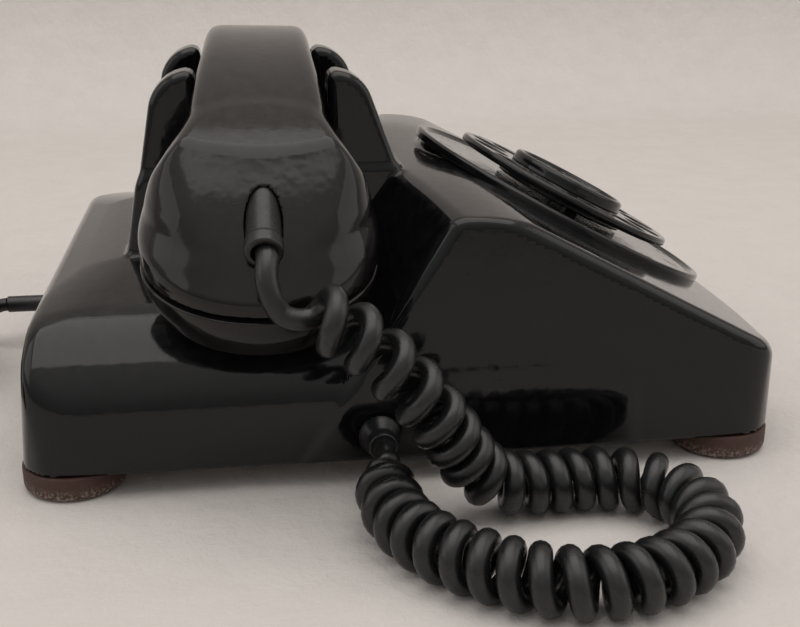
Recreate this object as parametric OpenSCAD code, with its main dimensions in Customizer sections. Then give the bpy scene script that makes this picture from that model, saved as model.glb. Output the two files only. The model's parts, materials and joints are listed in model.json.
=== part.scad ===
// Desk telephone with a rotary dial: moulded housing, cradle, handset, ringer and cords.
// Units are millimetres. X is the handset's length, the dial faces -Y, and Z is up.
// The origin is on the table under the middle of the housing.

/* [Housing] */
// Width of the housing at its foot
case_w = 200; // [190:1:215]
// Depth of the housing from the middle of its bowed front to its back
case_d = 228; // [222:1:240]
// How far the front bows out in the middle
front_bow = 8; // [4:1:10]
// Radius of the housing's upright corners
corner_r = 18; // [12:1:24]
// Wall thickness of the moulding
wall = 3; // [2.4:0.2:3.6]
// How far each side wall leans in at the height of the crown
side_lean = 7; // [4:0.5:9]
// Height of the crown, the flat top in front of the cradle
crown_z = 79; // [78:0.5:80]
// Radius that turns the crown into the dial deck
crown_r = 70; // [50:5:80]
// Radius that turns the dial deck into the front wall
nose_r = 12; // [8:1:14]
// Height of the rear deck at its middle
rear_deck_z = 54; // [52:0.5:55]
// Height at which the rear deck would meet the side wall
shoulder_z = 44; // [40:0.5:45]
// Radius of the soft shoulder along the rear deck
shoulder_r = 32; // [24:1:34]
// Height of the back edge of the rear deck
back_edge_z = 47; // [44:0.5:49]

/* [Cradle] */
// Distance from the middle to the outer face of an ear
ear_out_x = 43; // [41:0.5:44]
// Thickness of an ear
ear_t = 14; // [11:0.5:16]
// Height of the ears' rounded tips
ear_z = 108.5; // [104:0.5:111]
// Width of the notch between a front ear and a rear ear
notch_w = 39; // [37:0.5:42]
// Width of an ear at its tip
ear_w = 12.5; // [12:0.5:14]
// Radius of an ear's outer shoulder
ear_r = 11; // [7:1:11]

/* [Dial] */
// Tilt of the dial from level
dial_tilt = 27.7; // [26:0.1:29]
// Radius of the number plate
plate_r = 55.8; // [54:0.2:57]
// Thickness of the number plate
plate_t = 1.5; // [1.2:0.1:1.8]
// Height of the rolled bead above the plate's face
bead_h = 0.9; // [0.5:0.1:1.2]
// Radius of the finger wheel
wheel_r = 40; // [39:0.5:42]
// Thickness of the finger wheel
wheel_t = 2; // [1.6:0.1:2.4]
// Height of the finger wheel's underside above the number plate
wheel_gap = 4; // [3.4:0.2:4.4]
// Radius of a finger hole
finger_r = 6.3; // [5.8:0.1:6.6]
// Radius of the circle on which the finger holes lie
finger_pcr = 31; // [30.5:0.1:31.4]
// Outer radius of the raised card ring
ring_r = 21; // [20:0.2:22]
// Height of the card ring above the finger wheel
ring_h = 4.6; // [4:0.2:6]
// Radius of the dial's main shaft
shaft_r = 3; // [2.4:0.1:3.4]
// Module of the dial's gears
gear_m = 0.8; // [0.78:0.01:0.82]

/* [Handset] */
// Radius of the handset's caps
cap_r = 33; // [32:0.5:34]
// Distance from the middle of the handset to the centre of each cap
cap_x = 84; // [83:0.5:87]
// Tilt of each cap's face towards the middle
cap_tilt = 15; // [13:0.5:17]
// Height of the joint between cup and cap at its centre
cap_z = 64.5; // [64:0.5:67]
// Width of the handle
handle_w = 31; // [28:0.5:32]
// Thickness of the handle
handle_t = 24; // [22:0.5:25]
// Radius of the handle's arched back
handle_arc_r = 200.5; // [196:0.5:205]
// Height of the top of the handle
handle_top_z = 118.5; // [118:0.5:120]

/* [Switch hook] */
// Radius of a plunger's stem
plunger_r = 3.6; // [3:0.1:4]
// Distance from the middle to each plunger
plunger_x = 36; // [35:0.5:37]

/* [Ringer] */
// Radius of a gong
gong_r = 25; // [22:0.5:25]
// Distance from the middle to each gong's centre
gong_x = 30; // [29.5:0.5:32]
// Height of a gong
gong_h = 13; // [10:0.5:14]
// Sheet thickness of a gong
gong_t = 1.2; // [0.8:0.1:1.6]

/* [Feet and base] */
// Height of the feet
foot_h = 7.5; // [6:0.5:9]
// Radius of a foot
foot_r = 14.2; // [12:0.2:15]
// Distance of each foot's centre from the sides
foot_inset = 15; // [15:0.5:20]
// Thickness of the base plate
base_t = 1.5; // [1.2:0.1:2]

/* [Cords] */
// Diameter of the line cord
line_d = 5; // [4.6:0.1:5.2]
// Outer diameter of the curly cord's coils
curl_d = 16.6; // [15:0.1:17]
// Diameter of the curly cord's strand
strand_d = 6; // [5:0.1:6.4]

/* [Hidden] */
$fn = 48;

// Small distances that fits and cuts share
fit = 0.3;          // gap between pieces that sit on each other
run = 0.05;         // running clearance of a shaft in its bearing, on the radius
cut = 1;            // overshoot of a cutting solid
arc_step = 9;       // degrees between the points of a rounded corner

// Colours of the finishes
black_gloss = [0.05, 0.05, 0.055];
warm_black = [0.09, 0.08, 0.08];
zinc = [0.66, 0.67, 0.68];
steel = [0.55, 0.56, 0.58];
brass = [0.78, 0.62, 0.32];
leather = [0.36, 0.19, 0.12];
card_white = [0.9, 0.89, 0.85];
fibre = [0.45, 0.3, 0.2];
copper = [0.72, 0.42, 0.26];
clear = [0.8, 0.82, 0.8, 0.4];

// Places worked out from the driving dimensions
half_w = case_w / 2;
front_y = -case_d / 2;
back_y = case_d / 2;
bow_r = (pow(half_w - corner_r, 2) + pow(front_bow, 2)) / (2 * front_bow);
base_top = foot_h + base_t;
dial_y = front_y + 51.8;
dial_z = crown_z - 22.2;
seat_y = back_y - 72.5;
deck_drop = plate_t + fit;
seat_z = -handle_arc_r + handle_top_z + sqrt(pow(handle_arc_r - handle_t, 2) - pow(ear_out_x, 2)) - fit;
ear_in_x = ear_out_x - ear_t;
notch_front = seat_y - notch_w / 2;
notch_back = seat_y + notch_w / 2;

// ---------- geometry helpers ----------

function unit(v) = v / norm(v);
function turn_of(a, b) = let (d = b - a) d > 180 ? d - 360 : d < -180 ? d + 360 : d;

// One corner at b, between its neighbours a and c, rounded with radius r
function corner(a, b, c, r) =
    let (u = unit(a - b), v = unit(c - b), half = acos(max(-1, min(1, u * v))) / 2,
         mid = b + unit(u + v) * r / sin(half),
         p = b + u * r / tan(half) - mid, q = b + v * r / tan(half) - mid,
         from = atan2(p[1], p[0]), sweep = turn_of(from, atan2(q[1], q[0])),
         n = max(1, ceil(abs(sweep) / arc_step)))
    [for (i = [0:n]) mid + r * [cos(from + sweep * i / n), sin(from + sweep * i / n)]];

function xy(p) = [p[0], p[1]];
function radius(p) = len(p) > 2 ? p[2] : 0;

// A closed outline of [x, y, corner radius] points with its corners rounded
function rounded(p) = [for (i = [0:len(p) - 1])
    let (a = p[(i + len(p) - 1) % len(p)], c = p[(i + 1) % len(p)])
    each radius(p[i]) > 0 ? corner(xy(a), xy(p[i]), xy(c), radius(p[i])) : [xy(p[i])]];

function inward(a, b) = unit([a[1] - b[1], b[0] - a[0]]);

// The same points in the opposite order
function cw(p) = [for (i = [len(p) - 1:-1:0]) p[i]];

// An anticlockwise outline moved inwards by g, with its corner radii following
function inset(p, g) = [for (i = [0:len(p) - 1])
    let (a = p[(i + len(p) - 1) % len(p)], b = p[i], c = p[(i + 1) % len(p)],
         m = inward(a, b), n = inward(b, c), s = cross(xy(b) - xy(a), xy(c) - xy(b)),
         q = xy(b) + g * (m + n) / (1 + m * n), r = radius(b))
    [q[0], q[1], r == 0 ? 0 : s > 0 ? max(0.3, r - g) : r + g]];

// A [y, z] outline drawn out along X between two places
module across(outline, x0, x1) {
    translate([x0, 0, 0]) rotate([90, 0, 90]) linear_extrude(x1 - x0) polygon(outline);
}

// An [x, z] outline drawn out along Y between two places
module along(outline, y0, y1) {
    translate([0, y1, 0]) rotate([90, 0, 0]) linear_extrude(y1 - y0) polygon(outline);
}

module mirrored_x() {
    children();
    mirror([1, 0, 0]) children();
}

module ring(r_out, r_in, h) {
    difference() {
        cylinder(r = r_out, h = h);
        translate([0, 0, -cut]) cylinder(r = r_in, h = h + 2 * cut);
    }
}

// A tube swept along points p, with one radius for each point
function tube_dir(p, i) = unit(p[min(i + 1, len(p) - 1)] - p[max(i - 1, 0)]);
function side_of(d, ref) = unit(cross(d, ref));
function refs(p, i = 0, ref = [0, 0, 1]) = i >= len(p) ? [] :
    let (d = tube_dir(p, i), s = abs(d * ref) > 0.99 ? side_of(d, [1, 0, 0]) : side_of(d, ref),
         next = cross(s, d))
    concat([[s, next]], refs(p, i + 1, next));
function tube_points(p, r, n) = let (f = refs(p)) [for (i = [0:len(p) - 1], k = [0:n - 1])
    p[i] + r[i] * (cos(360 * k / n) * f[i][0] + sin(360 * k / n) * f[i][1])];
module tube(p, r, n) {
    last = (len(p) - 1) * n;
    sides = [for (i = [0:len(p) - 2], k = [0:n - 1])
        [i * n + k, i * n + (k + 1) % n, (i + 1) * n + (k + 1) % n, (i + 1) * n + k]];
    ends = [[for (k = [n - 1:-1:0]) k], [for (k = [0:n - 1]) last + k]];
    polyhedron(tube_points(p, r, n), concat(sides, ends));
}

// Points of a smooth curve through hand-set points
function curve_at(a, b, c, d, t) = 0.5 * ((2 * b) + (c - a) * t + (2 * a - 5 * b + 4 * c - d) * t * t
    + (3 * b - a - 3 * c + d) * t * t * t);
function smooth(p, n) = concat([for (i = [0:len(p) - 2], k = [0:n - 1])
    curve_at(p[max(i - 1, 0)], p[i], p[i + 1], p[min(i + 2, len(p) - 1)], k / n)], [p[len(p) - 1]]);

// ---------- housing ----------

// Plan of the housing, seen from above, with its bowed front
bow_steps = 8;
bow_half = asin((half_w - corner_r) / bow_r);
function plan(g) =
    let (w = half_w - g, y0 = front_y + g, y1 = back_y - g, r = corner_r - g, k = bow_r - g)
    concat(
        [for (i = [-bow_steps:bow_steps])
            [(bow_r - g) * sin(bow_half * i / bow_steps), y0 + k * (1 - cos(bow_half * i / bow_steps))]],
        [for (a = [-90 + bow_half:arc_step:-1]) [w - r + r * cos(a), y0 + front_bow + r + r * sin(a)]],
        [for (a = [0:arc_step:90]) [w - r + r * cos(a), y1 - r + r * sin(a)]],
        [for (a = [90:arc_step:180]) [r - w + r * cos(a), y1 - r + r * sin(a)]],
        [for (a = [180:arc_step:270 - bow_half]) [r - w + r * cos(a), y0 + front_bow + r + r * sin(a)]]);

// Height of the dial deck's straight stretch at a place along Y
function deck_z(y) = dial_z - deck_drop / cos(dial_tilt) + (y - dial_y) * tan(dial_tilt);
crown_y = dial_y + (crown_z - deck_z(dial_y)) / tan(dial_tilt);

// Side outline of the front block, from the nose over the dial deck to the crown
front_outline = [[front_y, foot_h], [seat_y, foot_h], [seat_y, crown_z],
    [crown_y, crown_z, crown_r], [front_y, deck_z(front_y), nose_r]];

// Outline of the front block's side walls, seen from the front
edge_r = 3;
crown_drop = 4.5;      // how far the crown falls towards each side
crown_side_r = 300;
front_walls = [[-half_w, foot_h], [half_w, foot_h], [half_w - side_lean, crown_z - crown_drop, edge_r],
    [ear_out_x, crown_z, crown_side_r], [-ear_out_x, crown_z, crown_side_r],
    [side_lean - half_w, crown_z - crown_drop, edge_r]];

// Side outline of the rear block, and its soft-shouldered section
back_lean = 5;
rear_step = 30;
rear_outline = [[dial_y, foot_h], [back_y, foot_h], [back_y - back_lean, back_edge_z, 7],
    [back_y - rear_step, rear_deck_z + 0.5, 20], [dial_y, rear_deck_z + 1.5]];
rear_walls = [[-half_w, foot_h], [half_w, foot_h], [half_w - 3, shoulder_z, shoulder_r],
    [ear_out_x, rear_deck_z - 1, 20], [-ear_out_x, rear_deck_z - 1, 20],
    [3 - half_w, shoulder_z, shoulder_r]];

// The recess under each end of the handset cuts the front block with a slanted face
scoop_pitch = 34;
scoop_yaw = 12.5;
scoop_corner = [half_w - side_lean - 1, crown_y + 7.8, crown_z - 2.5];
module scoop(g) {
    difference() {
        translate(scoop_corner) rotate([0, 0, -scoop_yaw]) rotate([scoop_pitch, 0, 0])
            translate([-case_w, -g, -case_d]) cube([2 * case_w, case_d, 2 * case_d]);
        translate([ear_out_x - g - 2 * case_w, -case_d, -case_d])
            cube([2 * case_w, 2 * case_d, 3 * case_d]);
    }
}

// The dial's collar, square to the dial, stands up where the deck falls away
collar_r = plate_r - 1.8;
module on_dial(h = 0) {
    translate([0, dial_y, dial_z]) rotate([dial_tilt, 0, 0]) translate([0, 0, h]) children();
}

// Side outline of the ears, with the notch that takes the handle
cradle_foot = rear_deck_z - 4;
front_slant = 17.5;
rear_slant = 10.5;
ear_front = notch_front - ear_w;
ear_back = notch_back + ear_w + 0.5;
notch_r = 5;
tip_r = 3.2;
ears_outline = [[ear_front - front_slant, cradle_foot], [ear_back + rear_slant, cradle_foot],
    [ear_back, ear_z + 0.7, ear_r], [notch_back, ear_z + 0.7, tip_r], [notch_back, seat_z, notch_r],
    [notch_front, seat_z, notch_r], [notch_front, ear_z, tip_r], [ear_front, ear_z, ear_r]];
slope_front = front_slant / (ear_z - cradle_foot);
slope_back = rear_slant / (ear_z + 0.7 - cradle_foot);
hump_outline = [[ear_front - front_slant, cradle_foot], [ear_back + rear_slant, cradle_foot],
    [ear_back + rear_slant - slope_back * (crown_z - cradle_foot), crown_z, 6],
    [ear_front - front_slant + slope_front * (crown_z - cradle_foot), crown_z]];

module shell(g) {
    intersection() {
        union() {
            difference() {
                intersection() {
                    across(rounded(inset(front_outline, g)), -case_w, case_w);
                    along(rounded(inset(front_walls, g)), -case_d, case_d);
                }
                mirrored_x() scoop(g);
            }
            intersection() {
                across(rounded(inset(rear_outline, g)), -case_w, case_w);
                along(rounded(inset(rear_walls, g)), -case_d, case_d);
            }
        }
        linear_extrude(2 * case_d) polygon(plan(g));
    }
    across(rounded(inset(hump_outline, g)), g - ear_out_x, ear_out_x - g);
    mirrored_x() across(rounded(inset(ears_outline, g)), ear_in_x + g, ear_out_x - g);
}

hole_r = plate_r - 8.8;         // dial opening in the deck
flange_r = plate_r - 4.3;       // seat of the dial's mounting ring
flange_t = 1.7;
boss_r = 4.5;
screw_r = 1.8;
boss_x = half_w - 10;
boss_y = [front_y + 59, back_y - 52];
boss_h = 15;
rib_t = 3;
rib_h = boss_h - 4;
port_r = 4.6;
port_z = foot_h + 8;
port_y = 14;
port_x = 36;
curl_port = [-half_w, port_y, port_z];
line_port = [port_x, back_y, port_z];

module housing() {
    color(black_gloss) difference() {
        union() {
            difference() {
                union() {
                    shell(0);
                    on_dial(-deck_drop - 9) cylinder(r = collar_r, h = 9);
                }
                shell(wall);
                linear_extrude(2 * foot_h) polygon(plan(wall));
            }
            // Screw bosses, each tied to the side wall by a rib
            for (y = boss_y) mirrored_x() translate([boss_x, y, base_top + fit]) {
                cylinder(r = boss_r, h = boss_h);
                translate([0, -rib_t / 2, 0]) cube([half_w - boss_x - 1.2 * wall, rib_t, rib_h]);
            }
        }
        on_dial(-plate_t - flange_t - fit) cylinder(r = flange_r + fit, h = case_d);
        on_dial(-case_d) cylinder(r = hole_r, h = 2 * case_d);
        for (y = boss_y) mirrored_x() translate([boss_x, y, 0]) cylinder(r = screw_r, h = base_top + 12);
        mirrored_x() translate([plunger_x, seat_y, cradle_foot]) cylinder(r = plunger_r + fit, h = crown_z);
        translate(curl_port - [cut, 0, 0]) rotate([0, 90, 0]) cylinder(r = port_r, h = 4 * wall);
        translate(line_port + [0, cut, 0]) rotate([90, 0, 0]) cylinder(r = port_r, h = 4 * wall);
    }
}

// ---------- base ----------

slot_w = 3;
slot_l = 26;
slot_n = 6;
foot_places = [[half_w - foot_inset, front_y + front_bow + foot_inset],
    [half_w - foot_inset, back_y - foot_inset]];

module at_feet() {
    for (p = foot_places) mirrored_x() translate([p[0], p[1], 0]) children();
}

module base_plate() {
    color(zinc) difference() {
        translate([0, 0, foot_h]) linear_extrude(base_t) difference() {
            polygon(plan(wall + fit));
            // Sound slots under the ringer
            for (i = [0:slot_n - 1]) translate([(i - (slot_n - 1) / 2) * 4 * slot_w, gong_y]) {
                square([slot_w, slot_l - slot_w], center = true);
                for (s = [-1, 1]) translate([0, s * (slot_l - slot_w) / 2]) circle(d = slot_w);
            }
            for (y = boss_y) for (s = [-1, 1]) translate([s * boss_x, y]) circle(r = screw_r + fit);
        }
        at_feet() cylinder(r = rivet_r, h = 4 * foot_h);
    }
}

rivet_r = 2.2;
rivet_head = 4.5;
sole_r = 2.5;
foot_outline = [[rivet_r, 2.5], [rivet_head + 0.5, 2.5], [rivet_head + 0.5, 0], [foot_r, 0, sole_r],
    [foot_r, foot_h, 0.6], [rivet_r, foot_h]];

module feet() {
    color(leather) at_feet() rotate_extrude() polygon(rounded(foot_outline));
}

module foot_rivets() {
    color(brass) at_feet() {
        translate([0, 0, 0.8]) cylinder(r = rivet_head, h = 1.7);
        translate([0, 0, 2.5]) cylinder(r = rivet_r, h = base_top - 2.5);
        translate([0, 0, base_top]) cylinder(r = rivet_head - 0.7, h = 1);
    }
}

module housing_screws() {
    color(steel) for (y = boss_y) mirrored_x() translate([boss_x, y, foot_h - 2]) difference() {
        union() {
            cylinder(r = 3.4, h = 2);
            cylinder(r = screw_r - 0.1, h = base_t + 13);
        }
        translate([-5, -0.5, -cut]) cube([10, 1, cut + 0.9]);
    }
}

// ---------- switch hook ----------

plunger_top = -handle_arc_r + handle_top_z
    + sqrt(pow(handle_arc_r - handle_t, 2) - pow(plunger_x + plunger_r, 2)) - fit;
plunger_foot = [7, 8, 2];
plunger_tip = 2;
lever_z = 60;
lever_w = 5;
lever_past = 0.6;
pin_y = seat_y - 34;
pin_z = lever_z - 2;
pin_r = 1.5;
lever_t = 1.6;
bracket_x = 15;
bracket_t = 1.6;
bracket_lug = 9;
shelf_z = pin_z - 22;
pile_w = 10;
blade_t = 0.6;
blade_pitch = 1.8;

module plunger() {
    stem = plunger_top - lever_z - lever_t - fit - plunger_tip;
    translate([plunger_x, seat_y, lever_z + lever_t + fit]) {
        cylinder(r = plunger_r, h = stem);
        translate([0, 0, stem]) rotate_extrude()
            polygon(rounded([[0, 0], [plunger_r, 0], [plunger_r, plunger_tip, 1.4], [0, plunger_tip]]));
        // Foot that rests on the lever and stops the stem under the seat
        translate([-plunger_foot[0], -plunger_foot[1] / 2, 0])
            cube(plunger_foot + [plunger_r, 0, 0]);
    }
}

module plunger_right() { color(warm_black) plunger(); }
module plunger_left() { color(warm_black) mirror([1, 0, 0]) plunger(); }

module hook_bracket() {
    color(zinc) {
        translate([-bracket_x - bracket_lug, pin_y - bracket_lug, base_top])
            cube([2 * (bracket_x + bracket_lug), 2 * bracket_lug, bracket_t]);
        for (s = [-1, 1]) difference() {
            across(rounded([[pin_y - 8, base_top + bracket_t], [pin_y + 8, base_top + bracket_t],
                [pin_y + 5, pin_z + 5, 4], [pin_y - 5, pin_z + 5, 4]]),
                s * bracket_x - bracket_t / 2, s * bracket_x + bracket_t / 2);
            translate([s * bracket_x - 3, pin_y, pin_z]) rotate([0, 90, 0]) cylinder(r = pin_r, h = 6);
        }
        // Shelf that carries the contact springs
        translate([-bracket_x + bracket_t / 2, pin_y + 2, shelf_z])
            cube([2 * bracket_x - bracket_t, 4, bracket_t]);
    }
}

module hook_pin() {
    color(steel) translate([-bracket_x - 2.5, pin_y, pin_z]) rotate([0, 90, 0])
        cylinder(r = pin_r, h = 2 * bracket_x + 5);
}

// A rocking frame: a tube on the pin, two arms and a cross bar under the plungers
module hook_lever() {
    arm_x = bracket_x - 4;
    color(steel) {
        difference() {
            union() {
                translate([-arm_x, pin_y, pin_z]) rotate([0, 90, 0]) cylinder(r = pin_r + 1.4, h = 2 * arm_x);
                for (s = [-1, 1]) translate([s * (arm_x - 2) - 2, pin_y, lever_z])
                    cube([4, seat_y - pin_y, lever_t]);
            }
            translate([-case_w, pin_y, pin_z]) rotate([0, 90, 0]) cylinder(r = pin_r + run, h = 2 * case_w);
        }
        translate([-plunger_x - lever_w / 2, seat_y + lever_past - lever_w, lever_z])
            cube([2 * plunger_x + lever_w, lever_w, lever_t]);
        // Finger over the contact blades
        translate([-3, pin_y + 14, lever_z]) cube([6, 16, lever_t]);
    }
}

// Contact blades with insulators between them, on the bracket's shelf
blade_n = 4;
module hook_contacts() {
    gap = blade_pitch - blade_t;
    translate([0, pin_y + 2, shelf_z + bracket_t]) {
        for (i = [0:blade_n - 1]) translate([0, 0, blade_pitch * i]) {
            color(brass) translate([1 - pile_w / 2, 0, gap]) cube([pile_w - 2, 24 + 2 * i, blade_t]);
            color(fibre) translate([-pile_w / 2, 0, 0]) cube([pile_w, pile_w / 2, gap]);
        }
        color(fibre) translate([-pile_w / 2, 0, blade_pitch * blade_n]) cube([pile_w, pile_w / 2, 2]);
    }
}

// ---------- dial ----------

frame_z = -deck_drop - 8.7;
lug_t = 1.5;
gear_z = frame_z - 10;
wheel2_z = gear_z - 5;
back_z = wheel2_z - 5;
gear_t = 1.6;
main_teeth = 60;
pinion_teeth = 12;
wheel2_teeth = 40;
governor_teeth = 10;
pulse_y = gear_m * (main_teeth + pinion_teeth) / 2;
governor_x = gear_m * (wheel2_teeth + governor_teeth) / 2;
pulse_shaft_r = 1.5;
hub_r = finger_pcr - finger_r - 0.9;

// Outline of a spur gear: straight-flanked teeth, thinner than the gaps between them
function gear_outline(teeth, m, phase) = let (r = teeth * m / 2, a = 360 / teeth)
    [for (i = [0:teeth - 1], k = [0:3])
        let (at = a * i + phase + a * [-0.2, -0.09, 0.09, 0.2][k], q = r + m * [-1.1, 0.7, 0.7, -1.1][k])
        q * [cos(at), sin(at)]];

module gear(teeth, phase, h) {
    linear_extrude(h) polygon(gear_outline(teeth, gear_m, phase));
}

plate_outline = [[shaft_r + 4, -plate_t], [plate_r - 2.2, -plate_t], [plate_r - 1.2, -plate_t - 0.2, 0.5],
    [plate_r, -plate_t + 0.3, 0.7], [plate_r, bead_h - 0.2, 0.9], [plate_r - 2.4, bead_h, 0.9],
    [plate_r - 3.6, 0, 1], [shaft_r + 4, 0]];
module number_plate() {
    color(black_gloss) on_dial() rotate_extrude($fn = 96) polygon(rounded(plate_outline));
}

mount_r = hole_r - fit;
module dial_mount_ring() {
    color(zinc) on_dial() difference() {
        rotate_extrude() polygon([[mount_r - 3, -plate_t], [flange_r, -plate_t],
            [flange_r, -plate_t - flange_t], [mount_r, -plate_t - flange_t], [mount_r, frame_z - lug_t],
            [mount_r - 10, frame_z - lug_t], [mount_r - 10, frame_z], [mount_r - 3, frame_z]]);
        // Relief in the shelf for the governor's cup
        translate([governor_x, pulse_y, frame_z - 2 * lug_t])
            cylinder(r = cup_r + cup_wall + fit, h = 2 * lug_t + cut);
    }
}

// Cast frame that carries the bearings, with pillars down to the back plate
pillars = [[-24, 14], [25, -13], [-27, -12]];
module dial_frame() {
    color(zinc) on_dial() difference() {
        union() {
            translate([0, 0, frame_z]) cylinder(r = mount_r - 3 - fit, h = 2);
            translate([0, 0, frame_z - 3]) cylinder(r = shaft_r + 3, h = 8);
            for (p = pillars) translate([p[0], p[1], back_z + gear_t + 0.4])
                cylinder(r = 2.4, h = frame_z - back_z - gear_t - 0.4);
            // Post that holds the outer end of the return spring
            translate([spring_end + 1 + fit + spring_post_r, 0, spring_z])
                cylinder(r = spring_post_r, h = frame_z - spring_z);
        }
        translate([0, 0, -case_d]) cylinder(r = shaft_r + run, h = 2 * case_d);
        for (p = [[0, pulse_y], [governor_x, pulse_y]]) translate([p[0], p[1], -case_d])
            cylinder(r = pulse_shaft_r + run, h = 2 * case_d);
        // Lightening windows in the casting
        for (a = [230:40:310]) rotate(a) translate([27, 0, frame_z - cut]) cylinder(r = 6, h = 4);
    }
}

module dial_back_plate() {
    color(zinc) on_dial(back_z) linear_extrude(gear_t) difference() {
        polygon(rounded([[-30, -22, 6], [30, -18, 6], [32, pulse_y + 8, 8], [-8, pulse_y + 8, 8],
            [-31, 20, 6]]));
        circle(r = shaft_r + run);
        for (x = [0, governor_x]) translate([x, pulse_y]) circle(r = pulse_shaft_r + run);
    }
}

wheel_z = wheel_gap;
finger_n = 10;
finger_a0 = 32;
finger_step = 30;
module finger_wheel() {
    color(black_gloss) on_dial() difference() {
        union() {
            rotate_extrude($fn = 96) polygon(rounded([[shaft_r, wheel_z], [wheel_r - 2.4, wheel_z],
                [wheel_r - 1.8, wheel_z - 0.8, 0.6], [wheel_r, wheel_z - 0.8, 0.8],
                [wheel_r, wheel_z + wheel_t, 0.9], [shaft_r, wheel_z + wheel_t]]));
            translate([0, 0, 0.6]) ring(hub_r, shaft_r, wheel_z - 0.6);
        }
        for (i = [0:finger_n - 1]) rotate(finger_a0 + finger_step * i) translate([finger_pcr, 0, 0])
            cylinder(r = finger_r, h = 4 * wheel_z);
    }
}

ring_z = wheel_z + wheel_t;
ring_wall = 3;
card_t = 0.4;
window_t = 1;
module card_ring() {
    color(black_gloss) on_dial() rotate_extrude($fn = 64) polygon(rounded([
        [ring_r - ring_wall, ring_z], [ring_r, ring_z], [ring_r, ring_z + ring_h, 1.3],
        [ring_r - ring_wall, ring_z + ring_h, 1.3]]));
}

card_z = ring_z + 1.4;
module number_card() {
    color(card_white) on_dial(card_z) cylinder(r = ring_r - ring_wall - fit / 2, h = card_t);
}

module card_window() {
    color(clear) on_dial(card_z + card_t) cylinder(r = ring_r - ring_wall - fit / 2, h = window_t);
}

// Bent hook fixed to the plate, with its tip over the finger wheel's rim
stop_a = -30;
stop_w = 5;
module finger_stop() {
    tip = ring_z + 0.7;
    reach = finger_pcr + 2;
    foot_to = wheel_r + 8;
    color(steel) on_dial() rotate(stop_a) translate([0, stop_w / 2, 0]) rotate([90, 0, 0])
        linear_extrude(stop_w) polygon(rounded([[wheel_r + 1.2, 0], [foot_to, 0], [foot_to, 1.2, 0.5],
            [wheel_r + 2.6, 1.2, 0.6], [wheel_r + 2.6, tip + 1.2, 2], [reach, tip + 1.2, 0.5],
            [reach, tip, 0.4], [wheel_r + 1.2, tip, 0.8]]));
}

module dial_shaft() {
    color(steel) on_dial() {
        translate([0, 0, back_z + gear_t / 2])
            cylinder(r = shaft_r, h = wheel_z + wheel_t - back_z - gear_t / 2);
        // Screw head that clamps the wheel under the card
        translate([0, 0, ring_z]) cylinder(r = shaft_r + 2.2, h = 1.1);
    }
}

module main_gear() {
    color(brass) on_dial(gear_z) difference() {
        union() {
            gear(main_teeth, 0, gear_t);
            cylinder(r = shaft_r + 2.5, h = 3.4);
        }
        translate([0, 0, -cut]) cylinder(r = shaft_r, h = 4 * gear_t);
        for (a = [0:60:300]) rotate(a) translate([14, 0, -cut]) cylinder(r = 4.5, h = 4 * gear_t);
    }
}

// Flat spiral spring round the shaft, hooked to the frame at its outer end
spring_turns = 4;
spring_r0 = shaft_r + fit;
spring_pitch = 2;
spring_t = 0.5;
spring_z = gear_z + 4.4;
spring_h = 2.4;
spring_end = spring_r0 + spring_turns * spring_pitch + spring_t;
spring_post_r = 1;
function spiral(side) = [for (a = [0:12:360 * spring_turns])
    (spring_r0 + side + spring_pitch * a / 360) * [cos(a), sin(a)]];
module return_spring() {
    hook = [[spring_end - spring_t, spring_t], [spring_end + 1, spring_t], [spring_end + 1, 0]];
    color(steel) on_dial(spring_z) linear_extrude(spring_h)
        polygon(concat(spiral(0), hook, cw(spiral(spring_t))));
}

// Intermediate shaft: pinion in mesh with the main gear, and the wheel that drives the governor
module pulse_gear() {
    color(brass) on_dial() translate([0, pulse_y, 0]) {
        translate([0, 0, back_z + 0.2]) cylinder(r = pulse_shaft_r, h = frame_z + 1.8 - back_z);
        translate([0, 0, gear_z - 0.3]) gear(pinion_teeth, 270 + 180 / pinion_teeth, gear_t + 0.6);
        translate([0, 0, wheel2_z]) difference() {
            gear(wheel2_teeth, 0, gear_t);
            for (a = [45:90:315]) rotate(a) translate([9, 0, -cut]) cylinder(r = 3, h = 4 * gear_t);
        }
    }
}

// Governor: pinion, spindle and two fly weights on a cross arm
rotor_z = frame_z - 5.6;
module governor_rotor() {
    color(steel) on_dial() translate([governor_x, pulse_y, 0]) {
        translate([0, 0, back_z + 0.2]) cylinder(r = pulse_shaft_r, h = frame_z + 1.8 - back_z);
        translate([0, 0, wheel2_z - 0.3]) gear(governor_teeth, 180 + 180 / governor_teeth, gear_t + 0.6);
        translate([-5.4, -0.8, rotor_z]) cube([10.8, 1.6, 1.2]);
        for (s = [-1, 1]) translate([s * 5.4, 0, rotor_z - 0.6]) cylinder(r = 1.5, h = 2.6);
    }
}

cup_r = 8;
cup_wall = 0.8;
cup_d = 6.6;
module governor_cup() {
    color(brass) on_dial() translate([governor_x, pulse_y, frame_z]) mirror([0, 0, 1])
        difference() {
            cylinder(r = cup_r + cup_wall, h = cup_d);
            translate([0, 0, cup_wall]) cylinder(r = cup_r, h = cup_d);
            translate([0, 0, -cut]) cylinder(r = pulse_shaft_r + 1, h = cup_d);
        }
}

// Three pulse blades between insulators, hanging under the frame
pulse_n = 3;
pulse_blade_t = 0.5;
pulse_gap = 1.2;
pulse_pad = [7, 5, pulse_gap];
module pulse_contacts() {
    pitch = pulse_gap + pulse_blade_t;
    on_dial() translate([-30, 2, frame_z]) mirror([0, 0, 1]) {
        for (i = [0:pulse_n - 1]) translate([0, 0, pitch * i + pulse_gap])
            color(brass) translate([-3, -4, 0]) cube([6, 16 - 2 * i, pulse_blade_t]);
        for (i = [0:pulse_n]) translate([-pulse_pad[0] / 2, -pulse_pad[1], pitch * i])
            color(fibre) cube(pulse_pad);
    }
}

// ---------- ringer ----------

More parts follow.
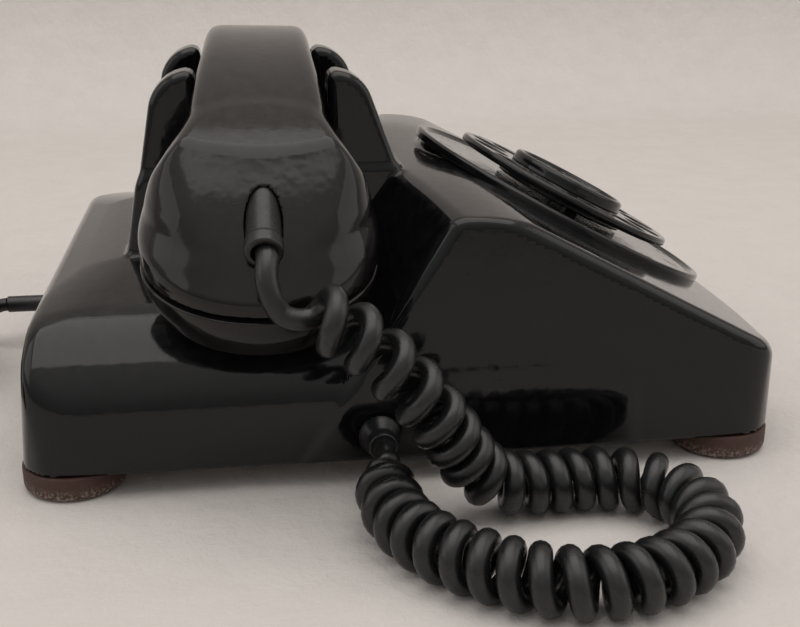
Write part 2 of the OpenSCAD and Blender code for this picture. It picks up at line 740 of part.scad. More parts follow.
gong_y = back_y - 36;
gong_z = base_top + 14;
ringer_y = gong_y - 40;
coil_r = 8;
coil_l = 24;
coil_x = 10.5;
core_z = base_top + 3 + coil_r + 1;
clapper_y = ringer_y + coil_l / 2 + 7;
clapper_z = gong_z + 4;
post_r = 3;

module ringer_frame() {
    color(zinc) {
        translate([0, 0, base_top]) linear_extrude(1.5) polygon(rounded([[-36, ringer_y - 18, 4],
            [36, ringer_y - 18, 4], [36, gong_y + 8, 8], [22, gong_y + 8, 3], [18, ringer_y + 26, 6],
            [-18, ringer_y + 26, 6], [-22, gong_y + 8, 3], [-36, gong_y + 8, 8]]));
        for (s = [-1, 1]) {
            translate([s * gong_x, gong_y, base_top + 1.5])
                cylinder(r = post_r, h = gong_z + gong_h - gong_t - base_top - 1.5);
            // Cheeks that hold the coil cores
            translate([-coil_x - coil_r, ringer_y + s * (coil_l / 2 + 2.2) - 1.2, base_top + 1.5])
                cube([2 * (coil_x + coil_r), 2.4, core_z + 6 - base_top]);
        }
        // Pivot post of the clapper
        translate([0, clapper_y, base_top + 1.5]) cylinder(r = 1.5, h = clapper_z + 4 - base_top - 1.5);
    }
}

module ringer_coils() {
    for (s = [-1, 1]) translate([s * coil_x, ringer_y + coil_l / 2, core_z]) rotate([90, 0, 0]) {
        color(copper) translate([0, 0, 1.5]) ring(coil_r, 3.5, coil_l - 3);
        color(fibre) for (h = [0, coil_l - 1.5]) translate([0, 0, h]) ring(coil_r + 1, 3.5, 1.5);
        color(steel) translate([0, 0, -1]) cylinder(r = 3.5, h = coil_l + 2);
    }
}

module ringer_magnet() {
    color(steel) translate([-coil_x - 6, ringer_y - coil_l / 2 + 1, core_z + coil_r + 1 + fit])
        cube([2 * coil_x + 12, coil_l - 2, 5]);
}

// Dished gong with a rolled rim, opening downwards
function gong_outline(r, h, t) = [[post_r - 0.8, h - t], [r * 0.55, h - t, 6], [r - 2.2 - t, h * 0.42, 6],
    [r - t, 0], [r, 0], [r - 1.9, h * 0.5, 6], [r * 0.6, h, 7], [post_r - 0.8, h]];
module gong() {
    rotate_extrude($fn = 72) polygon(rounded(gong_outline(gong_r, gong_h, gong_t)));
}
module gong_right() { color(brass) translate([gong_x, gong_y, gong_z]) gong(); }
module gong_left() { color(brass) translate([-gong_x, gong_y, gong_z]) gong(); }

module gong_screws() {
    color(steel) mirrored_x() translate([gong_x, gong_y, gong_z + gong_h]) difference() {
        cylinder(r = 3.6, h = 2);
        translate([-5, -0.5, 1.1]) cube([10, 1, 2]);
    }
}

ball_r = 3.5;
ball_y = gong_y - 2;
arm_t = 1.6;
module clapper() {
    color(brass) {
        translate([0, ball_y, clapper_z]) sphere(r = ball_r);
        difference() {
            union() {
                translate([-arm_t / 2, clapper_y, clapper_z - arm_t / 2])
                    cube([arm_t, ball_y - clapper_y - ball_r + 0.6, arm_t]);
                translate([0, clapper_y, clapper_z - 3]) cylinder(r = 3, h = 6);
            }
            translate([0, clapper_y, 0]) cylinder(r = 1.5 + run, h = case_d);
        }
    }
}

// ---------- network ----------

net = [44, 62, 24];
net_at = [38, -30, base_top];
module network_box() {
    color(zinc) translate(net_at) linear_extrude(net[2])
        polygon(rounded([[0, 0, 3], [net[0], 0, 3], [net[0], net[1], 3], [0, net[1], 3]]));
}

terminal_n = 5;
module network_terminals() {
    for (i = [0:terminal_n - 1], s = [0, 1]) translate([net_at[0] + 7 + s * (net[0] - 14),
        net_at[1] + 8 + i * (net[1] - 16) / (terminal_n - 1), net_at[2] + net[2]]) {
        color(fibre) translate([-4, -4, 0]) cube([8, 8, 1.2]);
        color(brass) translate([0, 0, 1.2]) difference() {
            cylinder(r = 2.6, h = 1.8);
            translate([-3, -0.4, 1]) cube([6, 0.8, 2]);
        }
    }
}

// ---------- handset ----------

arc_z = handle_top_z - handle_arc_r;
cup_h = 37;
neck_r = cap_r - 3;
neck_h = 8;
groove = 1.5;
capsule_r = neck_r - 3;

// Draws a child in the frame of one cup, with Z pointing up out of the cap
module at_cup(side) {
    translate([side * cap_x, seat_y, cap_z]) rotate([0, side * cap_tilt, 0]) children();
}

cup_outline = [[0, 0], [cap_r - 1, 0], [cap_r, 1], [cap_r, 9, 20], [cap_r - 12.5, cup_h - 5, 12],
    [handle_w / 2 - 4, cup_h, 4], [0, cup_h]];
facet_top = [93, 97];
facet_foot = [117.2, 58];
facet_a = atan2(facet_foot[0] - facet_top[0], facet_top[1] - facet_foot[1]);

module handset_handle() {
    half_arc = asin((cap_x + 7) / handle_arc_r);
    edge = 7;
    color(warm_black) difference() {
        union() {
            // The arched handle, with a flat back and rounded edges
            translate([0, seat_y, arc_z]) rotate([90, 0, 0]) rotate([0, 0, 90 - half_arc])
                rotate_extrude(angle = 2 * half_arc, $fn = 180) polygon(rounded([
                    [handle_arc_r - handle_t, -handle_w / 2, edge + 2], [handle_arc_r, -handle_w / 2, edge],
                    [handle_arc_r, handle_w / 2, edge], [handle_arc_r - handle_t, handle_w / 2, edge + 2]]));
            for (s = [-1, 1]) at_cup(s) {
                rotate_extrude($fn = 72) polygon(rounded(cup_outline));
                translate([0, 0, -neck_h]) ring(neck_r, neck_r - 2.5, neck_h + 2);
            }
        }
        // Flat end facets
        for (s = [-1, 1]) scale([s, 1, 1]) translate([facet_top[0], 0, facet_top[1]])
            rotate([0, -facet_a, 0]) translate([0, -case_w, -case_w]) cube([case_w, 2 * case_w, 2 * case_w]);
        // Room for the capsules, with a smaller well above for their springs
        for (s = [-1, 1]) at_cup(s) {
            translate([0, 0, -2 * neck_h]) cylinder(r = neck_r - 2.5, h = 2 * neck_h + 4);
            cylinder(r = neck_r - 10, h = 12);
        }
        // Socket of the boot, opened out where it breaks through the facet
        boot_place() {
            translate([0, 0, -boot_sink]) cylinder(r = boot_r, h = boot_l);
            translate([0, 0, boot_flare]) cylinder(r = boot_r + 0.5 + fit, h = 2 * boot_l);
        }
    }
}

// Cap with a rolled shoulder and a dished face; the cup's neck fits inside it
cap_h = 16.5;
cap_outline = [[0, 3 - cap_h], [capsule_r + 0.4, 3 - cap_h], [neck_r + fit, -neck_h - 1],
    [neck_r + fit, -groove], [cap_r, -groove, 0.6], [cap_r, -6, 14], [cap_r - 6.5, -cap_h, 6],
    [cap_r - 11, -cap_h - 0.3, 3], [0, 1 - cap_h]];
module cap(rings) {
    difference() {
        rotate_extrude($fn = 96) polygon(rounded(cw(cap_outline)));
        for (q = rings, i = [0:q[1] - 1]) rotate(360 * i / q[1]) translate([q[0], 0, -2 * cap_h])
            cylinder(r = q[2], h = 2 * cap_h, $fn = 24);
    }
}
module transmitter_cap() { color(warm_black) at_cup(-1) cap([[0, 1, 1.3], [6, 6, 1.3], [12, 12, 1.3]]); }
module receiver_cap() { color(warm_black) at_cup(1) cap([[0, 1, 1.5], [6.5, 6, 1.5]]); }

module capsule(h) {
    rotate_extrude($fn = 64) polygon(rounded([[0, 3.3 - cap_h], [capsule_r - 4, 3.3 - cap_h, 1],
        [capsule_r - 3, 6 - cap_h], [capsule_r, 6 - cap_h], [capsule_r, h - cap_h, 1.5],
        [capsule_r * 0.6, h - cap_h, 1], [capsule_r * 0.5, h + 2 - cap_h, 1], [0, h + 2 - cap_h]]));
}
module transmitter_unit() { color(zinc) at_cup(-1) capsule(16); }
module receiver_unit() { color(zinc) at_cup(1) capsule(20); }

// Rubber sleeve that carries the cord out of the transmitter cup
boot_r = 5.4;
boot_l = 34.9;
boot_sink = 3;
boot_flare = 3;
boot_drop = 45;
boot_at = [-cap_x - 11, seat_y + 1, cap_z + 26.5];
module boot_place() {
    translate(boot_at) rotate([0, 180 + boot_drop, 0]) children();
}
module handset_boot() {
    color(black_gloss) boot_place() rotate_extrude() polygon(rounded([[strand_d / 2, -boot_sink],
        [boot_r, -boot_sink], [boot_r, boot_l - 4], [boot_r + 0.5, boot_l - 3.4, 0.5],
        [boot_r + 0.5, boot_l, 0.8], [strand_d / 2, boot_l]]));
}

// ---------- glands and cords ----------

module gland(tail) {
    // The groove is wider than the wall is thick, because the wall leans
    inner = -wall - gland_slack;
    rotate_extrude() polygon(rounded([[0, inner - 2], [port_r + 1.5, inner - 2, 0.5], [port_r + 1.5, inner],
        [port_r - 0.1, inner], [port_r - 0.1, gland_slack], [port_r + 1.5, gland_slack], [port_r + 1, 3, 1],
        [tail[0], tail[1], 0.6], [0, tail[1]]]));
}
gland_slack = 0.85;
gland_seat = 0.8;
curl_tail = 8.8;
line_tail = 24;
module curl_gland() {
    color(black_gloss) translate(curl_port + [gland_seat, 0, 0]) rotate([0, -90, 0])
        gland([strand_d / 2 + 1, curl_tail]);
}
module line_gland() {
    color(black_gloss) translate(line_port - [0, gland_seat, 0]) rotate([-90, 0, 0])
        gland([line_d / 2 + 0.8, line_tail]);
}

// Route of the curly cord, from the boot to the gland on the left side
curl_route = [[-119.9, 42.5, 66.1], [-122, 42.2, 64.1], [-124.5, 40, 62.2], [-126.5, 35, 60.5],
    [-127, 29, 58.5], [-127, 22, 53], [-127, 15, 45], [-127, 8, 36], [-126, 1, 26], [-124, -7, 15.5],
    [-122, -18, 9], [-121, -32, 8.4], [-121, -46, 8.4], [-125, -59, 8.4], [-134, -67, 8.4],
    [-147, -68, 8.4], [-161, -60, 8.4], [-171, -48, 8.4], [-175, -36, 8.4], [-174, -24, 8.4],
    [-169, -12, 8.4], [-160, 0, 8.4], [-149, 9, 8.4], [-136, 14, 8.4], [-124, 15, 9], [-117, 14.5, 12.8],
    [-112.5, 14, 15.5], [-108.3, 14, 15.5]];
curl_from = 3;
curl_to = 24;
function curl_radius(i) = i < curl_from || i > curl_to ? strand_d / 2 : curl_d / 2;
module curly_cord() {
    color(black_gloss) tube(curl_route, [for (i = [0:len(curl_route) - 1]) curl_radius(i)], 10);
}

// Route of the line cord, from the gland at the back to the coil behind the telephone,
// and its tail, from the coil to the plug
line_route = [[36, 137.4, 15.5], [36, 141, 14.8], [36, 147, 11.5], [35.5, 154, 6], [34, 161, 3],
    [32.5, 168, 2.6], [31, 173, 2.6]];
tail_route = [[-2, 202.4, 27.4], [-12, 202.6, 26.4], [-22, 202.4, 22], [-31, 201.6, 15.5],
    [-37, 200.8, 11.4], [-42, 200, 10], [-46, 200, 10]];
module free_run(p) {
    tube(smooth(p, 2), [for (i = [0:2 * (len(p) - 1)]) line_d / 2], 10);
}
module line_cord() {
    color(black_gloss) {
        free_run(line_route);
        free_run(tail_route);
    }
}

coil_at = [0, 172, 0];
coil_d = 11 * line_d;
coil_rows = 6;
coil_cols = 2;
module line_cord_coil() {
    w = coil_cols * line_d / 2;
    h = coil_rows * line_d;
    color(black_gloss) translate(coil_at) rotate_extrude($fn = 64) translate([coil_d / 2, 0])
        polygon(rounded([[-w, 0, 2], [w, 0, 2], [w, h, 2], [-w, h, 2]]));
}

module coil_tie() {
    w = coil_cols * line_d / 2 + fit;
    h = coil_rows * line_d + fit;
    color(steel) translate(coil_at + [-coil_d / 2, 3, 0]) rotate([90, 0, 0]) linear_extrude(6) difference() {
        translate([-w - 1, 0]) square([2 * w + 2, h + 1]);
        translate([-w, -cut]) square([2 * w, h + cut]);
    }
}

// Flat four-pin wall plug, lying beside the coil with the cord in its end
plug = [30, 24, 20];
plug_at = [-46 - fit - plug[0], 188, 0];
pin_l = 12;
plug_pin_r = 1.8;
module line_plug() {
    translate(plug_at) {
        color(black_gloss) linear_extrude(plug[2]) polygon(rounded([[0, 0, 3], [plug[0], 0, 5],
            [plug[0], plug[1], 5], [0, plug[1], 3]]));
        color(brass) for (y = [7, 17], z = [6, 14]) translate([-pin_l, y, z]) rotate([0, 90, 0])
            cylinder(r = plug_pin_r, h = pin_l);
    }
}

housing();
base_plate();
feet();
foot_rivets();
housing_screws();
plunger_left();
plunger_right();
hook_bracket();
hook_lever();
hook_pin();
hook_contacts();
dial_mount_ring();
number_plate();
dial_frame();
dial_back_plate();
finger_wheel();
card_ring();
number_card();
card_window();
finger_stop();
dial_shaft();
main_gear();
return_spring();
pulse_gear();
governor_rotor();
governor_cup();
pulse_contacts();
ringer_frame();
ringer_coils();
ringer_magnet();
gong_left();
gong_right();
gong_screws();
clapper();
network_box();
network_terminals();
line_gland();
curl_gland();
handset_handle();
transmitter_cap();
transmitter_unit();
receiver_cap();
receiver_unit();
handset_boot();
curly_cord();
line_cord();
line_cord_coil();
coil_tie();
line_plug();
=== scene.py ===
import json
import math

import bmesh
import bpy
import numpy as np
from bpy.props import FloatProperty, FloatVectorProperty, IntProperty, PointerProperty
from mathutils import Matrix, Vector


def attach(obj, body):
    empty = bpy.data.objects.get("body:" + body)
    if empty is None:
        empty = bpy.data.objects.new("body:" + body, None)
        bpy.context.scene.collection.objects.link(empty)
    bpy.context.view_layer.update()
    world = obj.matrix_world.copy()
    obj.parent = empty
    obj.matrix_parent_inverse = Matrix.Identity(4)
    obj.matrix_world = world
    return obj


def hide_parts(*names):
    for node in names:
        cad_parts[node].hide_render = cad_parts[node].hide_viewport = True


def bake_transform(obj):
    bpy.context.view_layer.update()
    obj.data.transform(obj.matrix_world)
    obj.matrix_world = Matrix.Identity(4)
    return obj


bl_info = {
    "name": "Rotary Desk Telephone",
    "version": (1, 0, 0),
    "blender": (4, 5, 0),
    "location": "View3D > Sidebar > Telephone",
    "description": "Dresses the packed frame of a rotary desk telephone with pieces, finishes and a stage",
    "category": "Object",
}

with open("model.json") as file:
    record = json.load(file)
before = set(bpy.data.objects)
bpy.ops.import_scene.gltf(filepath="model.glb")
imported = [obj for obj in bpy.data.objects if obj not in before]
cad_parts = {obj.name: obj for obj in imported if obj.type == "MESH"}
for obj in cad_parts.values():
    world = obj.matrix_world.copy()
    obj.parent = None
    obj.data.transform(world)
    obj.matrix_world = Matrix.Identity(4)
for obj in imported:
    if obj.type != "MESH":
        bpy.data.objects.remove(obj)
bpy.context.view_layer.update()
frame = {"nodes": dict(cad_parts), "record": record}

MM = 0.001
# Edges sharper than this many degrees stay crisp
SHARP = 38

# Sizes shared with the solids, in millimetres
HALF_W = 100.0
FRONT_Y = -114.0
BACK_Y = 114.0
FRONT_BOW = 8.0
CORNER_R = 18.0
WALL = 3.0
WELL_R = 51.8
WELL_DEPTH = 3.5
DIAL_HOLE_R = 47.0
PLUNGER_X = 36.0
PLUNGER_BORE_R = 3.9
CORD_BORE_R = 4.6
CURL_PORT_Y = 14.0
LINE_PORT_X = 36.0
FOOT_H = 7.5
FOOT_R = 14.2
FOOT_INSET = 15.0
RIVET_R = 2.2
RIVET_SEAT_R = 5.0
CROWN_Z = 79.0
SIDE_LEAN = 7.0
DIAL_TILT = math.radians(27.7)
DIAL_Y = -62.2
DIAL_Z = 56.8
DECK_DROP = 1.8
PLATE_R = 55.8
NUMBER_R = 46.2
WHEEL_R = 40.0
WHEEL_Z = 4.0
WHEEL_T = 2.0
RING_R = 21.0
RING_H = 3.8
FINGER_R = 6.3
FINGER_PCR = 31.0
FINGER_A0 = 32.0
FINGER_STEP = 30.0
FINGER_HOLES = 10
FINGER_PLACES = 12
RIM_INSET = 1.1
RIM_BEAD_R = 1.35
HUB_R = 23.8
CARD_GAP = 3.15
SHAFT_R = 3.0
SEAT_Y = 41.5
EAR_OUT_X = 43.0
EAR_T = 14.0
CAP_X = 84.0
CAP_Z = 64.5
CAP_R = 33.0
CAP_TILT = math.radians(15)
HANDLE_R = 200.5
HANDLE_T = 24.0
HANDLE_W = 31.0
HANDLE_TOP = 118.5
HANDLE_EDGE = 5.5
HANDLE_FLARE = 1.8
SOCKET_GAP = 0.15
SOCKET_FLOOR = 6.0
BOOT_AT = (-92.04, 40.5, 85.25)
BOOT_DROP = math.radians(28)
BOOT_R = 4.5
BOOT_L = 26.0
PORT_Z = 15.5
STRAND_D = 5.8
CURL_D = 17.4
LINE_D = 5.0
COIL_AT = (0.0, 172.0)
GLAND_GRIP = 0.85
PLUG_AT = (-46.3, 200.0, 10.0)
# A distance that is far from everything
CLEAR = 99.0

# Centreline of the curly cord's coil, from the boot to its gland
CURL_ROUTE = [
    (-114.3, 43.6, 73.4), (-117.6, 43.3, 71.4), (-120.6, 41.9, 68.2), (-123.2, 38.8, 64.6),
    (-125.3, 34.6, 61.8), (-126.7, 29, 58.8), (-127, 20.8, 53.2), (-127, 12.6, 44.8),
    (-127, 4.8, 35.2), (-126.2, -1.8, 25.4), (-124.6, -7.4, 16.8), (-122.8, -15.5, 10.8),
    (-121.4, -28, 9), (-121, -42, 8.8), (-124.5, -53, 8.8), (-132.5, -60.5, 8.8),
    (-145, -62.8, 8.8), (-158, -57.5, 8.8), (-167, -46.5, 8.8), (-171, -35, 8.8),
    (-171, -23, 8.8), (-166.5, -11.5, 8.8), (-158.5, -1, 8.8), (-148.5, 7.8, 8.8),
    (-136, 13.6, 9.2), (-125, 15, 11), (-117, 14.4, 14), (-112, 14, 15.5), (-108.3, 14, 15.5),
]
# The helix opens over this length after the boot, and closes over it before the gland
OPEN_OVER = 12.0
# Distance from turn to turn of the curly cord, at distances along its axis
CURL_PITCH = [
    (0, 90), (16, 90), (22, 8.8), (28, 8.6), (38, 10.2), (54, 10.2), (64, 7.6), (76, 6.4), (215, 6.4),
    (228, 7.0), (320, 7.2),
]
# The line cord from its gland to the coil, and from the coil to the plug
LINE_ROUTE = [
    (36, 137.4, 15.5), (36, 141, 14.8), (36, 147, 11.5), (35.5, 154, 6), (33, 162, 3), (30.6, 169, 2.6),
]
TAIL_ROUTE = [
    (-2, 202, 27.6), (-12, 202.3, 26.4), (-22, 202.3, 22), (-31, 201.6, 15.5), (-37, 200.8, 11.4),
    (-42, 200, 10), (-46, 200, 10),
]


# ---------- distances in two dimensions ----------


def outline(points):
    """Straight stretches, arcs and corners of a closed outline of (x, y, corner radius) points."""
    corners, n = [], len(points)
    for i in range(n):
        a, b, c = (np.array(points[(i + k) % n][:2], float) for k in (-1, 0, 1))
        r = points[i][2] if len(points[i]) > 2 else 0.0
        u, v = (a - b) / np.linalg.norm(a - b), (c - b) / np.linalg.norm(c - b)
        half = math.acos(max(-1.0, min(1.0, float(u @ v)))) / 2
        if r > 0 and half < math.pi / 2 - 1e-4:
            way = (u + v) / np.linalg.norm(u + v)
            reach = r / math.tan(half)
            corners.append((b, b + u * reach, b + v * reach, b + way * r / math.sin(half), r))
        else:
            corners.append((b, b, b, None, 0.0))
    return corners


def outline_distance(corners, a, b):
    """Signed distance from an outline, negative inside it."""
    a, b = np.broadcast_arrays(np.asarray(a, float), np.asarray(b, float))
    best = np.full(a.shape, 1e12)
    inside = np.zeros(a.shape, bool)
    n = len(corners)
    area = sum(p[0][0] * q[0][1] - q[0][0] * p[0][1] for p, q in zip(corners, corners[1:] + corners[:1]))
    for i in range(n):
        p, q = corners[i][0], corners[(i + 1) % n][0]
        if p[1] != q[1]:
            crosses = (p[1] > b) != (q[1] > b)
            inside ^= crosses & (a < (q[0] - p[0]) * (b - p[1]) / (q[1] - p[1]) + p[0])
        s, e = corners[i][2], corners[(i + 1) % n][1]
        d = e - s
        span = float(d @ d)
        if span > 1e-12:
            t = np.clip(((a - s[0]) * d[0] + (b - s[1]) * d[1]) / span, 0, 1)
            best = np.minimum(best, (a - s[0] - t * d[0]) ** 2 + (b - s[1] - t * d[1]) ** 2)
    best = np.sqrt(best)
    for i in range(n):
        tip, start, end, mid, r = corners[i]
        if mid is None:
            continue
        u, v = start - mid, end - mid
        turn = u[0] * v[1] - u[1] * v[0]
        x, y = a - mid[0], b - mid[1]
        within = ((u[0] * y - u[1] * x) * turn >= 0) & ((x * v[1] - y * v[0]) * turn >= 0)
        far = np.hypot(x, y)
        best = np.where(within, np.minimum(best, np.abs(far - r)), best)
        reach = float(np.linalg.norm(tip - mid)) + 1e-9
        cut = within & (far > r) & (far < reach)
        inside = np.where(cut, turn * area < 0, inside)
    return np.where(inside, -best, best)


# ---------- solids as distance fields, and their skins ----------


def joined(a, b, r):
    """Union of two fields with a fillet of radius r in the corner."""
    return np.maximum(r, np.minimum(a, b)) - np.hypot(np.maximum(r - a, 0), np.maximum(r - b, 0))


def common(a, b, r):
    """Intersection of two fields with an edge rounded by radius r."""
    return np.minimum(-r, np.maximum(a, b)) + np.hypot(np.maximum(r + a, 0), np.maximum(r + b, 0))


def corner_distance(a, b, r):
    """Distance from a square corner rounded by r, from the distances to its two inset faces."""
    return np.hypot(np.maximum(a, 0), np.maximum(b, 0)) + np.minimum(np.maximum(a, b), 0) - r


def drum(u, v, w, r, w0, w1, edge):
    """A cylinder of radius r along w, from w0 to w1."""
    return common(np.hypot(u, v) - r, np.abs(w - (w0 + w1) / 2) - (w1 - w0) / 2, edge)


def skin(field, low, high, step):
    """Mesh of a field's zero surface on an even grid: points, quads and normals, in its own units."""
    n = [int(math.ceil((high[i] - low[i]) / step)) + 1 for i in range(3)]
    axes = [low[i] + step * np.arange(n[i]) for i in range(3)]
    d = field(axes[0][:, None, None], axes[1][None, :, None], axes[2][None, None, :]) + np.zeros(n)
    corner = [(i, j, k) for i in (0, 1) for j in (0, 1) for k in (0, 1)]
    inside = d < 0
    cells = [slice(None, -1), slice(1, None)]
    count = sum(inside[cells[i], cells[j], cells[k]].astype(np.int8) for i, j, k in corner)
    active = np.argwhere((count > 0) & (count < 8))
    value = {c: d[active[:, 0] + c[0], active[:, 1] + c[1], active[:, 2] + c[2]] for c in corner}
    total, hits = np.zeros((len(active), 3)), np.zeros(len(active))
    for c in corner:
        for axis in range(3):
            if c[axis]:
                continue
            e = list(c)
            e[axis] = 1
            p, q = value[c], value[tuple(e)]
            crossing = (p < 0) != (q < 0)
            t = np.where(crossing, p / np.where(crossing, p - q, 1), 0)
            at = np.tile(np.array(c, float), (len(active), 1))
            at[:, axis] += t
            total += at * crossing[:, None]
            hits += crossing
    points = np.array(low) + step * (active + total / hits[:, None])
    number = np.full([m - 1 for m in n], -1, np.int64)
    number[active[:, 0], active[:, 1], active[:, 2]] = np.arange(len(active))
    quads = []
    for axis in range(3):
        first = [slice(None)] * 3
        second = [slice(None)] * 3
        first[axis], second[axis] = slice(None, -1), slice(1, None)
        change = inside[tuple(first)] != inside[tuple(second)]
        where = np.argwhere(change)
        u, v = (axis + 1) % 3, (axis + 2) % 3
        keep = (where[:, u] > 0) & (where[:, v] > 0) & (where[:, u] < n[u] - 1) & (where[:, v] < n[v] - 1)
        where = where[keep]
        out = inside[tuple(first)][where[:, 0], where[:, 1], where[:, 2]]
        ring = []
        for du, dv in ((-1, -1), (0, -1), (0, 0), (-1, 0)):
            cell = where.copy()
            cell[:, u] += du
            cell[:, v] += dv
            ring.append(number[cell[:, 0], cell[:, 1], cell[:, 2]])
        quad = np.stack(ring, 1)
        quad[~out] = quad[~out][:, ::-1]
        quads.append(quad)
    quads = np.concatenate(quads)

    def slope(p, e):
        return np.stack([
            (field(p[:, 0] + e * (k == 0), p[:, 1] + e * (k == 1), p[:, 2] + e * (k == 2))
             - field(p[:, 0] - e * (k == 0), p[:, 1] - e * (k == 1), p[:, 2] - e * (k == 2))) / (2 * e)
            for k in range(3)], 1)

    for _ in range(3):
        g = slope(points, 0.02 * step)
        move = field(
            points[:, 0], points[:, 1], points[:, 2],
        )[:, None] * g / np.maximum((g * g).sum(1), 0.2)[:, None]
        size = np.linalg.norm(move, axis=1)[:, None]
        points = points - move * np.minimum(1, 0.5 * step / np.maximum(size, 1e-12))
    normals = slope(points, 0.05 * step)
    normals /= np.maximum(np.linalg.norm(normals, axis=1), 1e-9)[:, None]
    return points, quads, normals


def quad_mesh(name, points, quads, normals=None):
    """A mesh object from millimetre points and quads, smooth, with its own normals where given."""
    mesh = bpy.data.meshes.new(name)
    mesh.vertices.add(len(points))
    mesh.vertices.foreach_set("co", (np.asarray(points, float) * MM).astype(np.float32).ravel())
    mesh.loops.add(quads.size)
    mesh.loops.foreach_set("vertex_index", quads.astype(np.int32).ravel())
    mesh.polygons.add(len(quads))
    mesh.polygons.foreach_set("loop_start", np.arange(0, quads.size, quads.shape[1], dtype=np.int32))
    mesh.update(calc_edges=True)
    mesh.validate()
    mesh.shade_smooth()
    if normals is not None:
        mesh.normals_split_custom_set_from_vertices([tuple(v) for v in normals])
    obj = bpy.data.objects.new(name, mesh)
    bpy.context.scene.collection.objects.link(obj)
    return obj


def moulded(name, field, low, high, step, place=None):
    """A piece moulded from a distance field, set in its place."""
    points, quads, normals = skin(field, low, high, step)
    if place is not None:
        turn = np.array(place.to_3x3())
        points = points @ turn.T + np.array(place.translation) / MM
        normals = normals @ turn.T
    return quad_mesh(name, points, quads, normals)


def arc_points(points, step=5.0):
    """The points of a closed outline with its corners rounded."""
    out = []
    for tip, start, end, mid, r in outline(points):
        if mid is None:
            out.append(tuple(tip))
            continue
        a0 = math.atan2(*(start - mid)[::-1])
        sweep = (math.atan2(*(end - mid)[::-1]) - a0 + math.pi) % (2 * math.pi) - math.pi
        n = max(2, math.ceil(abs(math.degrees(sweep)) / step))
        for i in range(n + 1):
            a = a0 + sweep * i / n
            out.append((mid[0] + r * math.cos(a), mid[1] + r * math.sin(a)))
    return out


def turned(name, points, place=None, segments=128, step=5.0, sharp=SHARP):
    """A piece turned on a lathe from a closed outline of (radius, height, corner radius) points."""
    ring = [(max(r, 0.0), h) for r, h in arc_points(points, step)]
    ring = [p for i, p in enumerate(ring) if math.dist(p, ring[i - 1]) > 1e-4]
    around = [2 * math.pi * k / segments for k in range(segments)]
    bm = bmesh.new()
    rows = []
    for r, h in ring:
        if r < 1e-4:
            rows.append([bm.verts.new((0, 0, h * MM))])
        else:
            circle = [(r * MM * math.cos(a), r * MM * math.sin(a), h * MM) for a in around]
            rows.append([bm.verts.new(point) for point in circle])
    for i in range(len(rows)):
        a, b = rows[i - 1], rows[i]
        if len(a) == 1 and len(b) == 1:
            continue
        for k in range(segments):
            m = (k + 1) % segments
            loop = [a[k % len(a)], a[m % len(a)], b[m % len(b)], b[k % len(b)]]
            loop = [v for j, v in enumerate(loop) if v not in loop[:j]]
            bm.faces.new(loop)
    bmesh.ops.recalc_face_normals(bm, faces=bm.faces)
    if place is not None:
        bm.transform(place)
    return finished(name, bm, sharp)


def finished(name, bm, sharp=SHARP):
    """Turns a bmesh into an object with smooth faces and crisp edges above an angle."""
    mesh = bpy.data.meshes.new(name)
    bm.to_mesh(mesh)
    bm.free()
    mesh.shade_smooth()
    mesh.set_sharp_from_angle(angle=math.radians(sharp))
    obj = bpy.data.objects.new(name, mesh)
    bpy.context.scene.collection.objects.link(obj)
    return obj


def gathered(name, pieces):
    """Joins small pieces into one."""
    bm = bmesh.new()
    for piece in pieces:
        bm.from_mesh(piece.data)
        bpy.data.objects.remove(piece)
    return finished(name, bm)


def drilled(obj, cutters):
    """Cuts other objects out of a piece and keeps the result as its mesh."""
    for c in cutters:
        m = obj.modifiers.new("cut", "BOOLEAN")
        m.operation = "DIFFERENCE"
        m.solver = "EXACT"
        m.object = c
    bpy.context.view_layer.update()
    mesh = bpy.data.meshes.new_from_object(obj.evaluated_get(bpy.context.evaluated_depsgraph_get()))
    obj.modifiers.clear()
    obj.data = mesh
    mesh.shade_smooth()
    mesh.set_sharp_from_angle(angle=math.radians(SHARP))
    for c in cutters:
        bpy.data.objects.remove(c)
    return obj


def fit_piece(obj, body, slot, finish, *nodes):
    """Puts a piece on its body, in its finish, in place of its solids."""
    obj.data.materials.clear()
    obj.data.materials.append(finish)
    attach(obj, body)
    if nodes:
        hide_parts(*nodes)
    return obj


# ---------- places ----------


def at(x, y, z):
    """A place in row-frame millimetres."""
    return Matrix.Translation(Vector((x, y, z)) * MM)


def on_dial(h=0.0):
    """The dial's centre, tilted with the deck, at a height above it."""
    return at(0, DIAL_Y, DIAL_Z) @ Matrix.Rotation(DIAL_TILT, 4, "X") @ at(0, 0, h)


def at_cup(side):
    """The mouth of the cup at one end of the handset."""
    return at(side * CAP_X, SEAT_Y, CAP_Z) @ Matrix.Rotation(side * CAP_TILT, 4, "Y")


def boot_place():
    """Where the cord's boot leaves the transmitter's bell."""
    return at(*BOOT_AT) @ Matrix.Rotation(1.5 * math.pi - BOOT_DROP, 4, "Y")


def as_laid():
    """How the handset was put down: turned and rolled a little on its seats."""
    seat = at(0, SEAT_Y, 94)
    turn = Matrix.Rotation(math.radians(-1.3), 4, "Z") @ Matrix.Rotation(math.radians(1.2), 4, "X")
    return at(0, 0.6, 0) @ seat @ turn @ seat.inverted()


def into(place, x, y, z):
    """Row-frame millimetres turned into the frame of a place."""
    m = place.inverted()
    return tuple(m[i][0] * x + m[i][1] * y + m[i][2] * z + m[i][3] / MM for i in range(3))


# ---------- cords ----------


